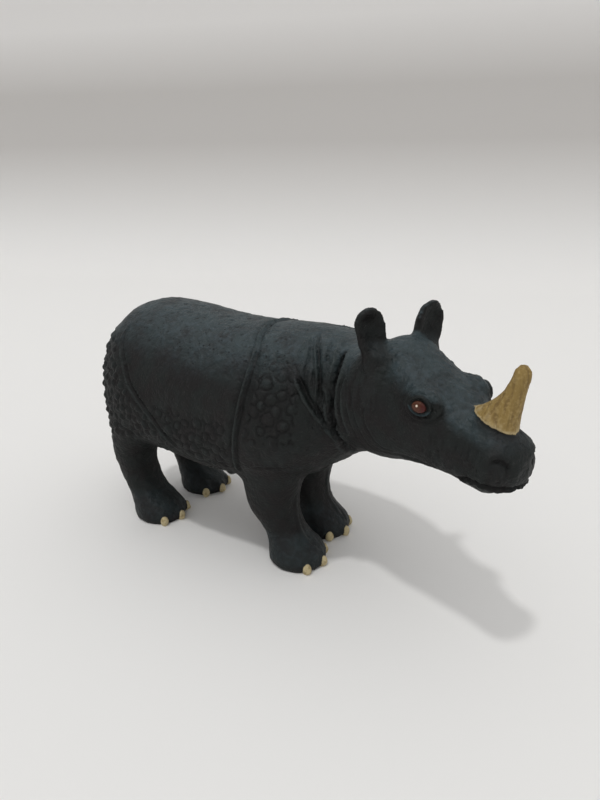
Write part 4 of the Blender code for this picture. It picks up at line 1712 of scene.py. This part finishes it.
def add_node(
    tree: bpy.types.NodeTree, kind: str, settings: dict | None = None, **links: object
) -> bpy.types.Node:
    """Adds a node with its settings and links.

    Args:
        tree: The material's or world's node tree.
        kind: The node's Blender type.
        settings: Values for the node's own properties.
        **links: Values or other nodes' sockets for its inputs, by name with _ for a space, or i0, i1 and so
            on for their order.

    Returns:
        The node.
    """
    node = tree.nodes.new(kind)
    for name, value in (settings or {}).items():
        setattr(node, name, value)
    for name, value in links.items():
        key = int(name[1:]) if name[0] == "i" and name[1:].isdigit() else name.replace("_", " ")
        socket = node.inputs[key]
        if isinstance(value, bpy.types.NodeSocket):
            tree.links.new(value, socket)
        else:
            socket.default_value = value
    return node


@dataclass(frozen=True)
class Coat:
    """One thin coat of colour: what it follows, where it starts and is full, and within what it stays."""

    follows: str
    start: float
    full: float
    colour: str
    strength: float = 1.0
    within: str = ""


@dataclass(frozen=True)
class PaintedRubber:
    """Soft moulded rubber with hand-painted horn, nails and eyes, all on one skin.

    The rubber comes nearly black from a satin mould, so its highlights are broad and dull. A grey sheen is
    painted on the tops of the forms as painted light, and painted shade darkens the grooves, the moats and
    pits and the nostrils, so its folds read well; the beads and the tops of the spots are painted a little
    paler. The horn is brushed in ochre over a darker ground, with a paler ragged rim, and the nails are
    dabbed in cream. The eyes alone are varnished, and shine, and each has a painted highlight. The real
    grain is finer than a pixel: fine and grit are drawn coarser, so that they show.
    """

    name: str = "moulded soft rubber, painted"
    dark: str = "#151313"
    noises: tuple[tuple[str, float, float], ...] = (
        ("mottle", 9.0, 3.0),
        ("grit", 2.2, 4.0),
        ("fine", 0.9, 2.0),
    )
    streak_size: float = 1.3
    stretch: Place = (1.0, 1.0, 0.2)
    pit_size: float = 2.6
    notes: tuple[str, ...] = (
        "painted_top_light", "back", "line_mm", "grain_mm", "hollow", "horn_mm", "nail_mm", "pouch", "eye_mm", "iris_mm",
        "glint_mm",
    )
    roughness: float = 0.58
    masked_roughness: tuple[tuple[str, float], ...] = (("painted_top_light", 0.44), ("horn", 0.62), ("lens", 0.12))
    specular: float = 0.24
    bumps: tuple[tuple[str, float], ...] = (("fine", 0.28), ("grit", 0.75))
    pit_depth: float = 0.25
    streak_depth: float = 1.1
    coats: tuple[Coat, ...] = (
        Coat("mottle", 0.35, 0.65, "#161A19"),
        # painted light: a grey sheen on the tops of the forms, flecked paler with grit
        Coat("mottle", 0.0, 0.75, "#323E41", within="painted_top_light"),
        Coat("grit", 0.42, 0.72, "#3D494F", 0.6, within="painted_top_light"),
        # painted shade in the pits of the back
        Coat("pits", 0.19, 0.10, "#0D1011", 0.75, within="back"),
        # painted shade in the grooves of the folds; then the beads are painted a little paler
        Coat("line_mm", -0.2, -1.3, "#080909", 0.9),
        Coat("line_mm", 0.2, 0.7, "#3A4140", 0.36),
        # painted shade in the moats round the spots and in the sunk spots; then the spots' tops are painted a
        # little paler
        Coat("grain_mm", -0.04, -0.26, "#090A0A", 0.75),
        Coat("grain_mm", 0.12, 0.6, "#343E3E", 0.12),
        # painted shade inside the nostrils
        Coat("hollow", 0.1, 0.7, "#060606"),
        Coat("solid", 0.0, 1.0, "#8F7745", within="horn"),
        Coat("streak", 0.52, 0.34, "#6A5330", 0.6, within="horn"),
        Coat("fine", 0.45, 0.7, "#B79F6C", 0.4, within="horn"),
        Coat("ragged", 0.8, 0.25, "#CDBB93", 0.6, within="horn"),
        Coat("solid", 0.0, 1.0, "#C2B38C", within="nail"),
        Coat("grit", 0.5, 0.35, "#8C7850", 0.6, within="nail"),
        Coat("pouch", 0.1, 1.0, "#2B3D42", 0.65),
        Coat("eye_mm", 0.25, 0.0, "#150B08"),
        Coat("eye_mm", -0.05, -0.4, "#4E2C1C"),
        Coat("iris_mm", 0.0, 1.8, "#46191A", 0.85, within="iris"),
        # painted highlight: a pale dot on each eye
        Coat("glint_mm", 0.46, 0.26, "#E8D8C4"),
    )

    def build(self) -> bpy.types.Material:
        """Makes the material.

        Returns:
            The material.
        """
        material = bpy.data.materials.new(self.name)
        material.use_nodes = True
        tree = material.node_tree
        shader = tree.nodes["Principled BSDF"]
        follow = self.patterns(tree)
        scaled_sum = {"operation": "MULTIPLY_ADD"}
        wear = add_node(tree, "ShaderNodeMath", scaled_sum, i0=follow["grit"], i1=1.2, i2=-0.6).outputs[0]
        ragged = add_node(tree, "ShaderNodeMath", {"operation": "ADD"}, i0=follow["horn_mm"], i1=wear)
        follow["ragged"] = ragged.outputs[0]
        rubbed = add_node(tree, "ShaderNodeMath", scaled_sum, i0=follow["fine"], i1=0.3, i2=follow["nail_mm"])
        edges = {
            "horn": (follow["ragged"], -0.05, 0.15),
            "nail": (rubbed.outputs[0], 0.0, 0.2),
            "iris": (follow["eye_mm"], -0.05, -0.45),
            "lens": (follow["eye_mm"], 0.1, -0.15),
        }
        masks = {"painted_top_light": follow["painted_top_light"], "back": follow["back"]}
        for name, (value, start, full) in edges.items():
            mask = add_node(tree, "ShaderNodeMapRange", Value=value, From_Min=start, From_Max=full)
            masks[name] = mask.outputs[0]

        tree.links.new(self.colour(tree, follow, masks), shader.inputs["Base Color"])
        gloss = self.roughness
        for name, roughness in self.masked_roughness:
            gloss = add_node(tree, "ShaderNodeMix", i0=masks[name], i2=gloss, i3=roughness).outputs[0]
        tree.links.new(gloss, shader.inputs["Roughness"])
        shader.inputs["Specular IOR Level"].default_value = self.specular
        bump = add_node(
            tree, "ShaderNodeBump", Height=self.relief(tree, follow, masks), Distance=MM, Strength=1.0
        )
        tree.links.new(bump.outputs["Normal"], shader.inputs["Normal"])
        return material

    def patterns(self, tree: bpy.types.NodeTree) -> dict[str, bpy.types.NodeSocket]:
        """Adds the patterns and the readings that the paint follows.

        Args:
            tree: The material's node tree.

        Returns:
            Their sockets by name.
        """
        place = add_node(tree, "ShaderNodeTexCoord").outputs["Object"]
        upright = add_node(tree, "ShaderNodeVectorMath", {"operation": "MULTIPLY"}, i0=place, i1=self.stretch)
        follow = {}
        for name, size, detail in self.noises:
            pattern = add_node(tree, "ShaderNodeTexNoise", Vector=place, Scale=1 / (size * MM), Detail=detail)
            follow[name] = pattern.outputs["Fac"]
        scale = 1 / (self.streak_size * MM)
        brush = add_node(tree, "ShaderNodeTexNoise", Vector=upright.outputs[0], Scale=scale, Detail=3.0)
        follow["streak"] = brush.outputs["Fac"]
        cells = add_node(tree, "ShaderNodeTexVoronoi", Vector=place, Scale=1 / (self.pit_size * MM))
        follow["pits"] = cells.outputs["Distance"]
        for name in self.notes:
            follow[name] = add_node(tree, "ShaderNodeAttribute", {"attribute_name": name}).outputs["Fac"]
        return follow

    def colour(
        self,
        tree: bpy.types.NodeTree,
        follow: dict[str, bpy.types.NodeSocket],
        masks: dict[str, bpy.types.NodeSocket],
    ) -> bpy.types.NodeSocket:
        """Lays the coats over the dark rubber, one after another.

        Args:
            tree: The material's node tree.
            follow: What the coats follow, by name.
            masks: Where the horn, nails, eyes, painted top light and back are, by name.

        Returns:
            The finished colour.
        """
        eased = {"interpolation_type": "SMOOTHSTEP"}
        product = {"operation": "MULTIPLY"}
        colour = linear(self.dark)
        for coat in self.coats:
            if coat.follows == "solid":
                share = masks[coat.within]
            else:
                limits = {"From_Min": coat.start, "From_Max": coat.full, "To_Max": coat.strength}
                step = add_node(tree, "ShaderNodeMapRange", eased, Value=follow[coat.follows], **limits)
                share = step.outputs[0]
                if coat.within:
                    kept = add_node(tree, "ShaderNodeMath", product, i0=share, i1=masks[coat.within])
                    share = kept.outputs[0]
            over = linear(coat.colour)
            mixed = add_node(tree, "ShaderNodeMix", {"data_type": "RGBA"}, i0=share, i6=colour, i7=over)
            colour = mixed.outputs[2]
        return colour

    def relief(
        self,
        tree: bpy.types.NodeTree,
        follow: dict[str, bpy.types.NodeSocket],
        masks: dict[str, bpy.types.NodeSocket],
    ) -> bpy.types.NodeSocket:
        """Adds up the fine relief: pits and grain on the skin, brush marks on the horn, none on the eyes.

        Args:
            tree: The material's node tree.
            follow: The patterns, by name.
            masks: Where the horn and the eyes are, by name.

        Returns:
            The height for the bump, in millimetres.
        """
        eased = {"interpolation_type": "SMOOTHSTEP"}
        limits = {"From_Min": 0.22, "From_Max": 0.0, "To_Max": -self.pit_depth}
        relief = add_node(tree, "ShaderNodeMapRange", eased, Value=follow["pits"], **limits).outputs[0]
        scaled_sum = {"operation": "MULTIPLY_ADD"}
        for name, depth in self.bumps:
            added = add_node(tree, "ShaderNodeMath", scaled_sum, i0=follow[name], i1=depth, i2=relief)
            relief = added.outputs[0]
        product = {"operation": "MULTIPLY"}
        brushed = add_node(tree, "ShaderNodeMath", product, i0=follow["streak"], i1=self.streak_depth)
        relief = add_node(tree, "ShaderNodeMix", i0=masks["horn"], i2=relief, i3=brushed.outputs[0]).outputs[0]
        return add_node(tree, "ShaderNodeMix", i0=masks["lens"], i2=relief, i3=0.0).outputs[0]


@dataclass
class Studio:
    """Plain pale sweep, soft light and the camera at the photograph's angle.

    The eye's place and the heights of the paper's tones are in millimetres, the sweep's own sizes in
    metres. The darker tones, where the sweep bends up into the wall, are painted shade.
    """

    heading: float = math.radians(31.09)
    pitch: float = math.radians(19.99)
    eye: Place = (120.30, -188.42, 147.82)
    lens: float = 26.1
    sensor: float = 36.0
    # the paper's tone by height: painted shade darkens the sweep where it bends up, and the wall is paler
    # again higher up
    paper_tones_with_painted_shade: tuple[tuple[float, str], ...] = (
        (0.0, "#EBEAE8"),
        (60.0, "#E3E2E0"),
        (240.0, "#C6C3C0"),
        (340.0, "#CBC8C5"),
        (460.0, "#EAE8E6"),
    )
    aside: float = math.radians(-12)
    behind: float = 0.72
    bend: float = 0.34
    reach: float = 3.0
    wall: float = 1.0
    room: tuple[float, float] = (0.34, 0.96)
    lamp: float = 0.70
    lamp_angle: float = math.radians(4)
    toward_lamp: Place = (-0.07, -0.33, 1.0)

    def camera(self) -> bpy.types.Object:
        """Places the camera.

        Returns:
            The camera.
        """
        right = Vector((math.cos(self.heading), math.sin(self.heading), 0))
        level = Vector((-math.sin(self.heading), math.cos(self.heading), 0))
        forward = level * math.cos(self.pitch) - Vector((0, 0, math.sin(self.pitch)))
        above = right.cross(forward)
        data = bpy.data.cameras.new("camera")
        data.lens = self.lens
        data.sensor_width = self.sensor
        data.clip_start = 0.01
        camera = bpy.data.objects.new("camera", data)
        turned = Matrix((right, above, -forward)).transposed().to_4x4()
        camera.matrix_world = Matrix.Translation(Vector(self.eye) * MM) @ turned
        bpy.context.scene.collection.objects.link(camera)
        bpy.context.scene.camera = camera
        return camera

    def floor(self) -> bpy.types.Object:
        """Lays the pale sweep: a floor that bends up into a wall behind the figurine.

        Returns:
            The sweep.
        """
        mesh = bmesh.new()
        bmesh.ops.create_grid(mesh, x_segments=1, y_segments=1, size=self.reach)
        back = [edge for edge in mesh.edges if all(vertex.co.y > 0 for vertex in edge.verts)]
        middle = Vector((0, self.reach, self.bend))
        turned = bmesh.ops.spin(mesh, geom=back, cent=middle, axis=(1, 0, 0), angle=math.pi / 2, steps=24)
        top = [element for element in turned["geom_last"] if isinstance(element, bmesh.types.BMEdge)]
        raised = bmesh.ops.extrude_edge_only(mesh, edges=top)
        high = [element for element in raised["geom"] if isinstance(element, bmesh.types.BMVert)]
        bmesh.ops.translate(mesh, verts=high, vec=(0, 0, self.wall))
        back_to_wall = Matrix.Translation((0, self.behind - self.reach, 0))
        place = Matrix.Rotation(self.heading + self.aside, 4, "Z") @ back_to_wall
        bmesh.ops.transform(mesh, matrix=place, verts=mesh.verts)
        bmesh.ops.recalc_face_normals(mesh, faces=mesh.faces)
        floor = add_object("sweep", mesh)
        floor.data.shade_smooth()
        # matt paper scatters light evenly, so it shows soft shadows and no shine
        material = bpy.data.materials.new("matt paper sweep")
        material.use_nodes = True
        shader = material.node_tree.nodes["Principled BSDF"]
        place = add_node(material.node_tree, "ShaderNodeTexCoord").outputs["Object"]
        height = add_node(material.node_tree, "ShaderNodeSeparateXYZ", Vector=place).outputs["Z"]
        # painted shade: the ramp makes the paper darker where the sweep bends up into the wall
        ramp = add_node(material.node_tree, "ShaderNodeValToRGB", Fac=height)
        for stop, (up, tone) in enumerate(self.paper_tones_with_painted_shade):
            element = ramp.color_ramp.elements[stop] if stop < 2 else ramp.color_ramp.elements.new(up * MM)
            element.position = up * MM
            element.color = linear(tone)
        material.node_tree.links.new(ramp.outputs["Color"], shader.inputs["Base Color"])
        shader.inputs["Roughness"].default_value = 0.9
        floor.data.materials.append(material)
        return floor

    def lights(self) -> None:
        """Sets the light: a soft room that is brighter overhead, and one faint ceiling light."""
        world = bpy.data.worlds.new("soft room light")
        world.use_nodes = True
        tree = world.node_tree
        toward = add_node(tree, "ShaderNodeTexCoord").outputs["Generated"]
        height = add_node(tree, "ShaderNodeSeparateXYZ", Vector=toward).outputs["Z"]
        sky = add_node(tree, "ShaderNodeMapRange", Value=height, To_Min=self.room[0], To_Max=self.room[1])
        tree.links.new(sky.outputs[0], tree.nodes["Background"].inputs["Strength"])
        tree.nodes["Background"].inputs["Color"].default_value = (1.0, 1.0, 1.0, 1.0)
        bpy.context.scene.world = world
        key = bpy.data.lights.new("ceiling light", "SUN")
        key.energy = self.lamp
        key.angle = self.lamp_angle
        lamp = bpy.data.objects.new("ceiling light", key)
        lamp.matrix_world = Vector(self.toward_lamp).to_track_quat("Z", "Y").to_matrix().to_4x4()
        bpy.context.scene.collection.objects.link(lamp)

    def build(self) -> None:
        """Sets up everything round the figurine."""
        self.camera()
        self.floor()
        self.lights()
        bpy.context.scene.view_settings.view_transform = "Standard"


def main() -> None:
    """Builds the figurine and the studio."""
    logging.basicConfig(level=logging.INFO, format="%(name)s: %(message)s")
    skin = Figurine(Spine()).build()
    skin.data.materials.append(PaintedRubber().build())
    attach(skin, "root")
    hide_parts(NODE)
    skin.data.calc_loop_triangles()
    LOG.info("%s has %d triangles", skin.name, len(skin.data.loop_triangles))
    Studio().build()


if __name__ == "__main__":
    main()
